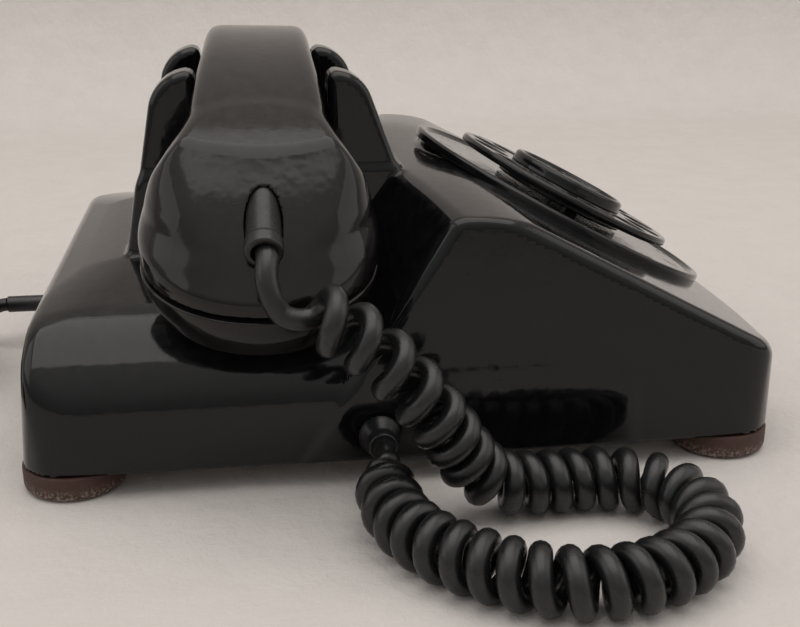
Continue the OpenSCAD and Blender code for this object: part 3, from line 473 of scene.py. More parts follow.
def smooth_line(points, spacing):
    """Evenly spaced points on a smooth curve through the given ones."""
    p = np.array(points, float)
    p = np.vstack([2 * p[0] - p[1], p, 2 * p[-1] - p[-2]])
    t = np.linspace(0, 1, 40, endpoint=False)[:, None]
    fine = [
        0.5 * (2 * b + (c - a) * t + (2 * a - 5 * b + 4 * c - d) * t**2 + (3 * b - a - 3 * c + d) * t**3)
        for a, b, c, d in zip(p, p[1:], p[2:], p[3:])
    ]
    fine = np.vstack(fine + [p[-2:-1]])
    run = np.concatenate([[0], np.cumsum(np.linalg.norm(np.diff(fine, axis=0), axis=1))])
    n = max(2, int(round(run[-1] / spacing)))
    at_s = np.linspace(0, run[-1], n + 1)
    return np.stack([np.interp(at_s, run, fine[:, k]) for k in range(3)], 1), at_s


def carried_frames(line):
    """Two directions across a line at each point, carried along it without twisting."""
    d = np.gradient(line, axis=0)
    d /= np.linalg.norm(d, axis=1)[:, None]
    u = np.cross(d[0], (0, 0, 1.0))
    u = u / np.linalg.norm(u) if np.linalg.norm(u) > 0.05 else np.array((1.0, 0, 0))
    us = []
    for k in range(len(line)):
        u = u - d[k] * (u @ d[k])
        u /= np.linalg.norm(u)
        us.append(u)
    us = np.array(us)
    return us, np.cross(d, us)


def tube(name, line, radius, sides):
    """A closed tube along a line of millimetre points."""
    u, v = carried_frames(line)
    a = 2 * np.pi * np.arange(sides) / sides
    ring = np.cos(a)[None, :, None] * u[:, None, :] + np.sin(a)[None, :, None] * v[:, None, :]
    r = np.broadcast_to(np.asarray(radius, float), (len(line),))
    points = (line[:, None, :] + r[:, None, None] * ring).reshape(-1, 3)
    i = np.arange(len(line) - 1)[:, None] * sides
    k = np.arange(sides)[None, :]
    m = (k + 1) % sides
    quads = np.stack([i + k, i + m, i + sides + m, i + sides + k], 2).reshape(-1, 4)
    normals = ring.reshape(-1, 3)
    obj = quad_mesh(name, points, quads, normals)
    return obj


def wound_strand(close):
    """Centreline of the curly strand: a helix that opens out of the boot and closes into the gland."""
    line, s = smooth_line(CURL_ROUTE, 0.25)
    length = s[-1]
    u, v = carried_frames(line)
    away = (CURL_D - STRAND_D) / 2
    way = np.gradient(line, axis=0)
    way /= np.linalg.norm(way, axis=1)[:, None]
    bend = np.linalg.norm(np.gradient(way, axis=0), axis=1) / (s[1] - s[0])
    bend = np.convolve(bend, np.ones(61) / 61, "same")
    # On the inner side of a bend the turns still lie a strand apart
    least = close * STRAND_D / np.maximum(1 - bend * away, 0.4)
    pitch = np.maximum(np.interp(s, *zip(*CURL_PITCH)), least)
    radius = away * np.clip((s - 3) / OPEN_OVER, 0, 1) ** 1.2 * np.clip((length - s - 5) / OPEN_OVER, 0, 1)
    phase = np.concatenate(
        [[0], np.cumsum(np.diff(s) * (1 / pitch[1:] + 1 / pitch[:-1]) / 2)]
    ) * 2 * np.pi
    helix = line + radius[:, None] * (np.cos(phase)[:, None] * u + np.sin(phase)[:, None] * v)
    run = np.concatenate([[0], np.cumsum(np.linalg.norm(np.diff(helix, axis=0), axis=1))])
    n = int(run[-1] / 1.5)
    at_s = np.linspace(0, run[-1], n + 1)
    return np.stack([np.interp(at_s, run, helix[:, k]) for k in range(3)], 1), run[-1]


def wound_lead():
    """Centreline of the line cord: out of the gland, round the tied coil, and on to the plug."""
    start, _ = smooth_line(LINE_ROUTE, 2.0)
    rows, outer, inner = 6, 30.05, 25.0
    steps = []
    for k in range(rows):
        z = LINE_D / 2 + 0.05 + (LINE_D + 0.02) * k
        steps += [(outer, z), (inner, z)] if k % 2 == 0 else [(inner, z), (outer, z)]
    total, first, each, window = 4410.0, 339.0, 360.0, 42.0
    angles = np.arange(0.0, total + 1, 6.0)
    r, z = np.full(angles.shape, steps[0][0]), np.full(angles.shape, steps[0][1])
    for k in range(1, len(steps)):
        t = np.clip((angles - (first + each * (k - 1))) / window, 0, 1)
        t = t * t * (3 - 2 * t)
        r = r + t * (steps[k][0] - steps[k - 1][0])
        z = z + t * (steps[k][1] - steps[k - 1][1])
    a = np.radians(angles)
    coil = np.stack([COIL_AT[0] + r * np.cos(a), COIL_AT[1] + r * np.sin(a), z], 1)
    tail, _ = smooth_line(TAIL_ROUTE, 2.0)
    rough = np.vstack([start[:-1], coil[1:], tail[1:]])
    run = np.concatenate([[0], np.cumsum(np.linalg.norm(np.diff(rough, axis=0), axis=1))])
    at_s = np.linspace(0, run[-1], int(run[-1] / 2.0))
    return np.stack([np.interp(at_s, run, rough[:, k]) for k in range(3)], 1), run[-1]


# ---------- finishes ----------

DUST = (0.34, 0.32, 0.3)
SCUFF = (0.38, 0.32, 0.28)


def node(tree, kind, **values):
    """A shader node with its inputs or settings filled in."""
    n = tree.nodes.new(kind)
    for key, value in values.items():
        if key in n.inputs:
            n.inputs[key].default_value = value
        else:
            setattr(n, key, value)
    return n


def group_tree(name, inputs, outputs):
    """A new shader group with float or colour sockets and its two end nodes."""
    tree = bpy.data.node_groups.new(name, "ShaderNodeTree")
    for label, kind, value in inputs:
        s = tree.interface.new_socket(name=label, in_out="INPUT", socket_type=kind)
        if value is not None:
            s.default_value = value
    for label, kind in outputs:
        tree.interface.new_socket(name=label, in_out="OUTPUT", socket_type=kind)
    return tree, tree.nodes.new("NodeGroupInput"), tree.nodes.new("NodeGroupOutput")


def scaled(tree, vector, scale, stretch=(1, 1, 1)):
    """A vector scaled for a pattern, stretched along some directions."""
    m = node(tree, "ShaderNodeMapping")
    m.inputs["Scale"].default_value = [scale * s for s in stretch]
    tree.links.new(vector, m.inputs["Vector"])
    return m.outputs["Vector"]


def ranged(tree, value, from_min, from_max, to_min=0.0, to_max=1.0):
    """A value carried from one range to another and held inside it."""
    m = node(tree, "ShaderNodeMapRange")
    for key, v in (
        ("From Min", from_min), ("From Max", from_max), ("To Min", to_min), ("To Max", to_max),
    ):
        m.inputs[key].default_value = v
    tree.links.new(value, m.inputs["Value"])
    return m.outputs["Result"]


def math_node(tree, operation, a, b=None):
    """A Math node on sockets or numbers."""
    m = node(tree, "ShaderNodeMath", operation=operation)
    for i, v in enumerate((a, b)):
        if v is None:
            continue
        if isinstance(v, (int, float)):
            m.inputs[i].default_value = v
        else:
            tree.links.new(v, m.inputs[i])
    return m.outputs[0]


def times(tree, a, b):
    """One value times another."""
    return math_node(tree, "MULTIPLY", a, b)


def plus(tree, a, b):
    """One value plus another."""
    return math_node(tree, "ADD", a, b)


def pattern(tree, vector, scale, stretch=(1, 1, 1), kind="ShaderNodeTexNoise", out="Fac", **values):
    """A noise or cell pattern over a scaled vector."""
    n = node(tree, kind, **values)
    tree.links.new(scaled(tree, vector, scale, stretch), n.inputs["Vector"])
    return n.outputs[out]


def handled_group():
    """Smudges and hairline scratches from years of handling, as a roughness to add and a height."""
    tree, ins, outs = group_tree(
        "handled_surface",
        [
            ("Vector", "NodeSocketVector", None), ("Smudge", "NodeSocketFloat", 0.1),
            ("Scratch", "NodeSocketFloat", 0.5),
        ],
        [("Roughness", "NodeSocketFloat"), ("Height", "NodeSocketFloat")],
    )
    smudge = pattern(tree, ins.outputs["Vector"], 38, Detail=5.0, Roughness=0.6)
    patch = ranged(tree, smudge, 0.42, 0.72)
    lines = pattern(
        tree, ins.outputs["Vector"], 900, (1, 0.05, 0.3), Detail=2.0, Roughness=0.5, Distortion=0.4,
    )
    hair = ranged(tree, lines, 0.66, 0.72)
    cross = pattern(
        tree, ins.outputs["Vector"], 800, (0.06, 1, 0.5), Detail=2.0, Roughness=0.5, Distortion=0.3,
    )
    hair = math_node(tree, "MAXIMUM", hair, ranged(tree, cross, 0.67, 0.73))
    hair = times(tree, hair, ins.outputs["Scratch"])
    rough = plus(tree, times(tree, patch, ins.outputs["Smudge"]), times(tree, hair, 0.18))
    tree.links.new(rough, outs.inputs["Roughness"])
    tree.links.new(times(tree, hair, -1.0), outs.inputs["Height"])
    return tree


def dust_group():
    """Fine dust that settles on faces that look up, as a mask."""
    tree, ins, outs = group_tree(
        "settled_dust", [("Vector", "NodeSocketVector", None), ("Amount", "NodeSocketFloat", 0.3)],
        [("Mask", "NodeSocketFloat")],
    )
    geometry = node(tree, "ShaderNodeNewGeometry")
    split = node(tree, "ShaderNodeSeparateXYZ")
    tree.links.new(geometry.outputs["Normal"], split.inputs[0])
    up = ranged(tree, split.outputs["Z"], 0.35, 1.0)
    specks = pattern(
        tree, ins.outputs["Vector"], 420, kind="ShaderNodeTexVoronoi", out="Distance", Randomness=1.0,
    )
    speck = ranged(tree, specks, 0.12, 0.05)
    film = pattern(tree, ins.outputs["Vector"], 60, Detail=4.0, Roughness=0.65)
    veil = ranged(tree, film, 0.4, 0.8, 0.0, 0.35)
    both = math_node(tree, "MAXIMUM", times(tree, speck, 0.8), veil)
    tree.links.new(times(tree, times(tree, both, up), ins.outputs["Amount"]), outs.inputs["Mask"])
    return tree


def grain_group():
    """Brushed or cast grain: a shade, which varies colour and roughness, and a height."""
    tree, ins, outs = group_tree(
        "metal_grain", [("Vector", "NodeSocketVector", None), ("Scale", "NodeSocketFloat", 300.0)],
        [("Shade", "NodeSocketFloat"), ("Height", "NodeSocketFloat")],
    )
    stretch = node(tree, "ShaderNodeVectorMath", operation="SCALE")
    tree.links.new(ins.outputs["Vector"], stretch.inputs[0])
    tree.links.new(ins.outputs["Scale"], stretch.inputs["Scale"])
    fine = node(tree, "ShaderNodeTexNoise", Detail=6.0, Roughness=0.7)
    tree.links.new(stretch.outputs[0], fine.inputs["Vector"])
    broad = pattern(tree, ins.outputs["Vector"], 45, Detail=3.0)
    tree.links.new(times(tree, fine.outputs["Fac"], broad), outs.inputs["Shade"])
    tree.links.new(fine.outputs["Fac"], outs.inputs["Height"])
    return tree


def shared_groups():
    """The node groups that the finishes share, built once."""
    if "handled_surface" not in bpy.data.node_groups:
        handled_group()
        dust_group()
        grain_group()
    return bpy.data.node_groups


def new_finish(name):
    """A new material with its tree, its shader and its object coordinates."""
    m = bpy.data.materials.new(name)
    m.use_nodes = True
    tree = m.node_tree
    return m, tree, tree.nodes["Principled BSDF"], node(tree, "ShaderNodeTexCoord").outputs["Object"]


def placed_group(tree, name, vector, **values):
    """A shared group set into a finish with its own values."""
    g = node(tree, "ShaderNodeGroup")
    g.node_tree = shared_groups()[name]
    tree.links.new(vector, g.inputs["Vector"])
    for key, v in values.items():
        g.inputs[key].default_value = v
    return g


def mixed_colour(tree, factor, a, b):
    """Two colours mixed by a mask."""
    m = node(tree, "ShaderNodeMix", data_type="RGBA")
    tree.links.new(factor, m.inputs["Factor"])
    for socket, v in ((m.inputs[6], a), (m.inputs[7], b)):
        if hasattr(v, "is_linked"):
            tree.links.new(v, socket)
        else:
            socket.default_value = (*v, 1.0)
    return m.outputs[2]


def bumped(tree, shader, height, strength, distance):
    """Raises a surface by a height."""
    b = node(tree, "ShaderNodeBump", Strength=strength, Distance=distance)
    tree.links.new(height, b.inputs["Height"])
    tree.links.new(b.outputs["Normal"], shader.inputs["Normal"])


def plastic_finish(name, colour, dull, smudge, scratch, dust, ripple=0.25):
    """Moulded phenolic or gloss plastic with smudges, hairlines, dust and a faint ripple."""
    if name in bpy.data.materials:
        return bpy.data.materials[name]
    m, tree, shader, vector = new_finish(name)
    worn = placed_group(tree, "handled_surface", vector, Smudge=smudge, Scratch=scratch)
    specks = placed_group(tree, "settled_dust", vector, Amount=dust)
    tone = pattern(tree, vector, 22, Detail=3.0)
    base = mixed_colour(
        tree, ranged(tree, tone, 0.35, 0.65), [c * 0.82 for c in colour], [c * 1.18 for c in colour],
    )
    base = mixed_colour(tree, specks.outputs["Mask"], base, DUST)
    tree.links.new(base, shader.inputs["Base Color"])
    rough = plus(
        tree, plus(tree, worn.outputs["Roughness"], dull), times(tree, specks.outputs["Mask"], 0.3),
    )
    tree.links.new(rough, shader.inputs["Roughness"])
    wave = pattern(tree, vector, 55, Detail=1.0)
    height = plus(tree, times(tree, wave, ripple), times(tree, worn.outputs["Height"], 0.03))
    bumped(tree, shader, height, 0.25, 0.0006)
    shader.inputs["Specular IOR Level"].default_value = 0.36
    return m


def rubber_finish(name, colour, dull, sheen):
    """Rubber jacket with a fine grain and a dull sheen."""
    if name in bpy.data.materials:
        return bpy.data.materials[name]
    m, tree, shader, vector = new_finish(name)
    grain = placed_group(tree, "metal_grain", vector, Scale=700.0)
    worn = placed_group(tree, "handled_surface", vector, Smudge=0.12, Scratch=0.3)
    base = mixed_colour(
        tree, grain.outputs["Shade"], [c * 0.7 for c in colour], [c * 1.5 for c in colour],
    )
    tree.links.new(base, shader.inputs["Base Color"])
    tree.links.new(plus(tree, worn.outputs["Roughness"], dull), shader.inputs["Roughness"])
    shader.inputs["Specular IOR Level"].default_value = sheen
    bumped(tree, shader, grain.outputs["Height"], 0.12, 0.0003)
    return m


def metal_finish(name, colour, dull, scale=300.0, bump=0.15):
    """Sheet, cast or drawn metal with its grain."""
    if name in bpy.data.materials:
        return bpy.data.materials[name]
    m, tree, shader, vector = new_finish(name)
    grain = placed_group(tree, "metal_grain", vector, Scale=scale)
    shade = ranged(tree, grain.outputs["Shade"], 0.1, 0.4)
    tree.links.new(
        mixed_colour(tree, shade, [c * 0.72 for c in colour], colour), shader.inputs["Base Color"],
    )
    tree.links.new(plus(tree, times(tree, shade, 0.18), dull), shader.inputs["Roughness"])
    shader.inputs["Metallic"].default_value = 1.0
    bumped(tree, shader, grain.outputs["Height"], bump, 0.0002)
    return m


def matte_finish(name, light, dark, scale, dull, bump):
    """Card, winding or fibre: two tones mixed by a fine pattern."""
    if name in bpy.data.materials:
        return bpy.data.materials[name]
    m, tree, shader, vector = new_finish(name)
    fine = pattern(tree, vector, scale, Detail=5.0, Roughness=0.65)
    tree.links.new(
        mixed_colour(tree, ranged(tree, fine, 0.3, 0.7), dark, light), shader.inputs["Base Color"],
    )
    tree.links.new(ranged(tree, fine, 0.3, 0.7, dull, dull + 0.15), shader.inputs["Roughness"])
    bumped(tree, shader, fine, bump, 0.0004)
    return m


def leather_finish(name, colour, scuff):
    """Brown leather feet with a creased grain and pale scuffs near the table."""
    if name in bpy.data.materials:
        return bpy.data.materials[name]
    m, tree, shader, vector = new_finish(name)
    crease = pattern(
        tree, vector, 520, kind="ShaderNodeTexVoronoi", out="Distance", Randomness=1.0,
        feature="DISTANCE_TO_EDGE",
    )
    pores = ranged(tree, crease, 0.0, 0.25)
    streak = pattern(tree, vector, 160, (1, 1, 3.5), Detail=6.0, Roughness=0.7)
    base = mixed_colour(tree, ranged(tree, streak, 0.35, 0.62), [c * 0.45 for c in colour], colour)
    split = node(tree, "ShaderNodeSeparateXYZ")
    tree.links.new(vector, split.inputs[0])
    low = ranged(tree, split.outputs["Z"], 0.0045, 0.0005)
    patch = pattern(tree, vector, 210, Detail=7.0, Roughness=0.75)
    rub = times(tree, low, ranged(tree, patch, 0.48, 0.6))
    tree.links.new(mixed_colour(tree, rub, base, scuff), shader.inputs["Base Color"])
    tree.links.new(ranged(tree, streak, 0.3, 0.7, 0.5, 0.75), shader.inputs["Roughness"])
    height = plus(tree, times(tree, pores, 0.5), streak)
    bumped(tree, shader, height, 0.5, 0.0005)
    return m


def glass_finish(name):
    """Clear plastic window with light wear."""
    if name in bpy.data.materials:
        return bpy.data.materials[name]
    m, tree, shader, vector = new_finish(name)
    worn = placed_group(tree, "handled_surface", vector, Smudge=0.08, Scratch=0.4)
    shader.inputs["Base Color"].default_value = (0.93, 0.95, 0.93, 1)
    shader.inputs["Transmission Weight"].default_value = 1.0
    shader.inputs["IOR"].default_value = 1.49
    tree.links.new(plus(tree, worn.outputs["Roughness"], 0.04), shader.inputs["Roughness"])
    return m


def slot_finishes():
    """The finish of each material slot of the record."""
    s = bpy.context.scene.telephone_finish
    return {
        "housing_plastic": plastic_finish("housing_gloss", s.housing, 0.06, 0.06, 0.5, 0.12),
        "handset_plastic": plastic_finish("handset_gloss", s.handset, 0.08, 0.06, 0.7, 0.1),
        "cord_rubber": rubber_finish("cord_jacket", s.cord, 0.26, 0.5),
        "zinc_plate": metal_finish("sheet_zinc", (0.6, 0.61, 0.62), 0.35, 260, 0.2),
        "bright_steel": metal_finish("steel_bright", (0.56, 0.57, 0.58), 0.2, 500, 0.1),
        "spring_brass": metal_finish("brass_sheet", (0.72, 0.55, 0.27), 0.24, 420, 0.12),
        "magnet_iron": metal_finish("grey_iron", (0.24, 0.24, 0.25), 0.45, 180, 0.4),
        "coil_copper": matte_finish("wound_copper", (0.62, 0.3, 0.14), (0.3, 0.13, 0.07), 900, 0.35, 0.5),
        "capsule_metal": metal_finish("capsule_sheet", (0.55, 0.56, 0.58), 0.3, 330, 0.15),
        "foot_leather": leather_finish("creased_leather", s.leather, SCUFF),
        "card_paper": matte_finish("paper_card", (0.82, 0.79, 0.7), (0.74, 0.7, 0.6), 700, 0.6, 0.15),
        "window_clear": glass_finish("card_window_clear"),
    }


# ---------- settings ----------


class TelephoneHousingSettings(bpy.types.PropertyGroup):
    """Sizes of the housing's moulding"""

    edge: FloatProperty(
        name="Edge radius", description="Rounding of the housing's long edges", default=0.0035,
        min=0.001, max=0.006, unit="LENGTH", subtype="DISTANCE",
    )
    grid: FloatProperty(
        name="Mesh step", description="Spacing of the housing's mesh", default=0.00125, min=0.0008,
        max=0.003, unit="LENGTH", subtype="DISTANCE",
    )


class TelephoneDialSettings(bpy.types.PropertyGroup):
    """The dial's numbers"""

    digit: FloatProperty(
        name="Digit height", description="Height of the numbers on the number plate", default=0.0062,
        min=0.004, max=0.009, unit="LENGTH", subtype="DISTANCE",
    )
    ink: FloatVectorProperty(
        name="Number colour", description="Colour of the numbers", default=(0.5, 0.48, 0.44),
        subtype="COLOR", min=0, max=1,
    )


class TelephoneHandsetSettings(bpy.types.PropertyGroup):
    """Sizes of the handset's moulding"""

    neck: FloatProperty(
        name="Neck fillet", description="Fillet where the handle flows into each cup", default=0.006,
        min=0.003, max=0.03, unit="LENGTH", subtype="DISTANCE",
    )
    grid: FloatProperty(
        name="Mesh step", description="Spacing of the handset's mesh", default=0.0008, min=0.0007,
        max=0.002, unit="LENGTH", subtype="DISTANCE",
    )


class TelephoneCordSettings(bpy.types.PropertyGroup):
    """How the curly cord is wound"""

    close: FloatProperty(
        name="Closeness", description="Least distance of the curly cord's turns, in strands",
        default=1.03, min=1.0, max=1.3,
    )
    sides: IntProperty(
        name="Sides", description="Sides of the strand's section", default=14, min=8, max=24,
    )


class TelephoneFinishSettings(bpy.types.PropertyGroup):
    """Colours of the pieces"""

    housing: FloatVectorProperty(
        name="Housing", description="Colour of the housing and dial", default=(0.0035, 0.0035, 0.004),
        subtype="COLOR", min=0, max=1,
    )
    handset: FloatVectorProperty(
        name="Handset", description="Colour of the handset", default=(0.006, 0.005, 0.005),
        subtype="COLOR", min=0, max=1,
    )
    cord: FloatVectorProperty(
        name="Cords", description="Colour of the cords", default=(0.009, 0.009, 0.0095),
        subtype="COLOR", min=0, max=1,
    )
    leather: FloatVectorProperty(
        name="Feet", description="Colour of the leather feet", default=(0.07, 0.028, 0.018),
        subtype="COLOR", min=0, max=1,
    )


class TelephoneStageSettings(bpy.types.PropertyGroup):
    """Camera, cloth, backdrop and light"""

    focal: FloatProperty(
        name="Lens", description="Focal length of the camera", default=51.75, min=20, max=120,
        unit="CAMERA",
    )
    backdrop: FloatVectorProperty(
        name="Backdrop", description="Colour of the backdrop", default=(0.62, 0.59, 0.565),
        subtype="COLOR", min=0, max=1,
    )
    floor: FloatVectorProperty(
        name="Floor", description="Colour of the cloth on the table", default=(0.6, 0.565, 0.54),
        subtype="COLOR", min=0, max=1,
    )
    key: FloatProperty(
        name="Key light", description="Power of the soft light overhead", default=9.5, min=0, max=60,
        unit="POWER",
    )


# ---------- stage ----------

CAMERA_AT = (-0.3894, 0.049, 0.1492)
CAMERA_TURN = (8.0, -18.6, -0.1)
SENSOR_W = 36.0
SIDE_SIZE = (1.3, 1.3)
SIDE_POWER = 3.4
SKY_LOW = (0.2, 0.195, 0.19)
SKY_HIGH = (0.95, 0.92, 0.89)
SKY_STRENGTH = 0.86
WALL_X = 0.62
WALL_TOP = 1.6
SHEET_BEND = 0.12
SHEET_SIDE = 1.8
SHEET_NEAR = -1.6
# Painted shade: a darker cloth colour mixed in where the folds rise
PAINTED_FOLD_SHADE = (0.42, 0.38, 0.35)


class TelephoneStage(bpy.types.Operator):
    """Builds the camera, the floor with its backdrop, and the lights"""

    bl_idname = "telephone.stage"
    bl_label = "Stage"

    def execute(self, context):
        s = context.scene.telephone_stage
        context.scene.view_settings.view_transform = "Standard"
        yaw, pitch, roll = (math.radians(a) for a in CAMERA_TURN)
        ahead = Vector(
            (math.cos(pitch) * math.cos(yaw), -math.cos(pitch) * math.sin(yaw), math.sin(pitch))
        )
        right = ahead.cross(Vector((0, 0, 1))).normalized()
        up = right.cross(ahead)
        turn = Matrix((right, up, -ahead)).transposed().to_4x4() @ Matrix.Rotation(roll, 4, "Z")
        data = bpy.data.cameras.new("camera")
        data.sensor_fit = "HORIZONTAL"
        data.sensor_width = SENSOR_W
        data.lens = s.focal
        data.clip_start = 0.01
        camera = bpy.data.objects.new("camera", data)
        camera.matrix_world = Matrix.Translation(CAMERA_AT) @ turn
        context.scene.collection.objects.link(camera)
        context.scene.camera = camera
        self.sweep(s)
        self.lamp("overhead", (-0.1, 0, 1.3), (0, 0, 0), (1.5, 1.5), s.key, (1.0, 0.97, 0.94))
        self.lamp("window", (-0.2, 1.5, 0.9), (0, 0, 0.05), SIDE_SIZE, SIDE_POWER, (1.0, 0.98, 0.96))
        self.lamp("side", (-0.3, -1.5, 0.8), (0, 0, 0.05), SIDE_SIZE, SIDE_POWER, (1.0, 0.97, 0.94))
        world = bpy.data.worlds.new("room")
        context.scene.world = world
        world.use_nodes = True
        tree = world.node_tree
        background = tree.nodes["Background"]
        direction = node(tree, "ShaderNodeTexCoord").outputs["Generated"]
        split = node(tree, "ShaderNodeSeparateXYZ")
        tree.links.new(direction, split.inputs[0])
        height = ranged(tree, split.outputs["Z"], -0.2, 0.9)
        tree.links.new(mixed_colour(tree, height, SKY_LOW, SKY_HIGH), background.inputs["Color"])
        background.inputs["Strength"].default_value = SKY_STRENGTH
        return {"FINISHED"}

    def sweep(self, s):
        """One sheet: table cloth, a soft bend, and a wall behind."""
        bm = bmesh.new()
        n = 12
        profile = [(SHEET_NEAR, 0.0), (-0.8, 0.0), (-0.3, 0.0), (0.2, 0.0)]
        for i in range(n + 1):
            a = math.pi / 2 * i / n
            x = WALL_X - SHEET_BEND + SHEET_BEND * math.sin(a)
            profile.append((x, SHEET_BEND - SHEET_BEND * math.cos(a)))
        profile += [(WALL_X, 0.6), (WALL_X, WALL_TOP)]
        rows = [[bm.verts.new((x, y, z)) for y in (-SHEET_SIDE, SHEET_SIDE)] for x, z in profile]
        for a, b in zip(rows, rows[1:]):
            bm.faces.new((a[0], b[0], b[1], a[1]))
        bmesh.ops.recalc_face_normals(bm, faces=bm.faces)
        floor = finished("table_and_backdrop", bm)
        m, tree, shader, vector = new_finish("table_cloth")
        split = node(tree, "ShaderNodeSeparateXYZ")
        tree.links.new(vector, split.inputs[0])
        fold = pattern(tree, vector, 9, Detail=5.0, Roughness=0.6)
        weave = pattern(tree, vector, 420, Detail=4.0, Roughness=0.7)
        back = ranged(tree, split.outputs["X"], 0.45, WALL_X)
        tone = mixed_colour(tree, back, tuple(s.floor), tuple(s.backdrop))
        # Painted shade: the fold pattern mixes the darker cloth colour in along the folds
        shade = mixed_colour(tree, ranged(tree, fold, 0.3, 0.7, 0.0, 0.12), tone, PAINTED_FOLD_SHADE)
        tree.links.new(shade, shader.inputs["Base Color"])
        shader.inputs["Roughness"].default_value = 0.9
        shader.inputs["Specular IOR Level"].default_value = 0.1
        height = plus(tree, times(tree, fold, 2.0), times(tree, weave, 0.12))
        bumped(tree, shader, height, 0.35, 0.004)
        floor.data.materials.append(m)

    def lamp(self, name, place, target, size, power, colour):
        """A soft rectangular lamp aimed at a point."""
        data = bpy.data.lights.new(name, "AREA")
        data.shape = "RECTANGLE"
        data.size = size[0]
        data.size_y = size[1]
        data.energy = power
        data.color = colour
        lamp = bpy.data.objects.new(name, data)
        lamp.location = place
        lamp.rotation_euler = (Vector(target) - Vector(place)).to_track_quat("-Z", "Y").to_euler()
        bpy.context.scene.collection.objects.link(lamp)


# ---------- housing ----------

T = math.tan(DIAL_TILT)


def deck_z(y):
    """Height of the dial deck at a depth."""
    return DIAL_Z - DECK_DROP / math.cos(DIAL_TILT) + (y - DIAL_Y) * T


CROWN_Y = DIAL_Y + (CROWN_Z - deck_z(DIAL_Y)) / T
FRONT_SIDE = outline([
    (SEAT_Y, -40), (SEAT_Y, CROWN_Z), (CROWN_Y, CROWN_Z, 70), (FRONT_Y, deck_z(FRONT_Y), 12),
    (FRONT_Y, -40),
])
FRONT_FACE = outline([
    (-HALF_W - 4.65, -40), (HALF_W + 4.65, -40), (HALF_W - SIDE_LEAN, CROWN_Z - 4.5, 3),
    (EAR_OUT_X, CROWN_Z, 300), (-EAR_OUT_X, CROWN_Z, 300), (SIDE_LEAN - HALF_W, CROWN_Z - 4.5, 3),
])
REAR_SIDE = outline(
    [(DIAL_Y, -40), (BACK_Y + 6.0, -40), (BACK_Y - 5, 47, 7), (BACK_Y - 30, 56, 20), (DIAL_Y, 57)]
)
REAR_FACE = outline([
    (-HALF_W - 3.9, -40), (HALF_W + 3.9, -40), (HALF_W - 3, 44, 32), (EAR_OUT_X, 54.6, 20),
    (-EAR_OUT_X, 54.6, 20), (3 - HALF_W, 44, 32),
])
# The saddle between the ears, whose ends lean in as it rises
SADDLE_FRONT = -8.0
SADDLE_BACK = 84.5
SADDLE_LOW = 50.0
SADDLE_TOP = 79.0
FRONT_LEAN = 0.2991
BACK_LEAN = 0.179
HUMP = outline([
    (SADDLE_FRONT, SADDLE_LOW), (SADDLE_BACK, SADDLE_LOW),
    (SADDLE_BACK - BACK_LEAN * (SADDLE_TOP - SADDLE_LOW), SADDLE_TOP, 6),
    (SADDLE_FRONT + FRONT_LEAN * (SADDLE_TOP - SADDLE_LOW), SADDLE_TOP),
])
# The ears, with the seat for the handle between the front and the back one
EAR_TOP = 109.2
EAR_FRONT_TOP = 108.5
SEAT_Z = 88.9
SEAT_FRONT = 22.0
SEAT_BACK = 61.0
EARS = outline([
    (-9.9, SADDLE_LOW), (SADDLE_BACK, SADDLE_LOW), (73.2, EAR_TOP, 13), (SEAT_BACK, EAR_TOP, 3.2),
    (SEAT_BACK, SEAT_Z, 5), (SEAT_FRONT, SEAT_Z, 5), (SEAT_FRONT, EAR_FRONT_TOP, 3.2),
    (11.5, EAR_FRONT_TOP, 12),
])
BOW_R = ((HALF_W - CORNER_R) ** 2 + FRONT_BOW**2) / (2 * FRONT_BOW)


def plan_distance(x, y):
    """The housing seen from above: straight sides and back, rounded corners and a bowed front."""
    ax = np.abs(x)
    q, p = ax - (HALF_W - CORNER_R), y - (BACK_Y - CORNER_R)
    box = corner_distance(q, p, CORNER_R)
    front = FRONT_Y + FRONT_BOW + CORNER_R - y
    corner = corner_distance(q, front, CORNER_R)
    bow = np.hypot(x, y - FRONT_Y - BOW_R) - BOW_R
    near = np.where(ax < HALF_W - CORNER_R, bow, corner)
    return np.maximum(box, near)


def scoop_distance(x, y, z):
    """The slanted face of the recess under each end of the handset; positive where it is cut away."""
    yaw, pitch = math.radians(12.5), math.radians(34)
    n = (math.sin(yaw) * math.cos(pitch), math.cos(yaw) * math.cos(pitch), math.sin(pitch))
    p = (HALF_W - SIDE_LEAN - 1, CROWN_Y + 6.6, CROWN_Z - 2.2)
    return n[0] * (np.abs(x) - p[0]) + n[1] * (y - p[1]) + n[2] * (z - p[2])


def body_distance(x, y, z, edge):
    """The housing's outside: front and rear decks, the saddle and the four ears."""
    front = common(outline_distance(FRONT_SIDE, y, z), outline_distance(FRONT_FACE, x, z), edge)
    front = common(front, scoop_distance(x, y, z), 3.0)
    rear = common(outline_distance(REAR_SIDE, y, z), outline_distance(REAR_FACE, x, z), 4.0)
    body = common(joined(front, rear, 1.5), plan_distance(x, y), edge)
    body = joined(body, common(outline_distance(HUMP, y, z), np.abs(x) - EAR_OUT_X, 1.5), 2.5)
    across = np.abs(np.abs(x) - EAR_OUT_X + EAR_T / 2) - EAR_T / 2
    return joined(body, common(outline_distance(EARS, y, z), across, 2.6), 2.5)


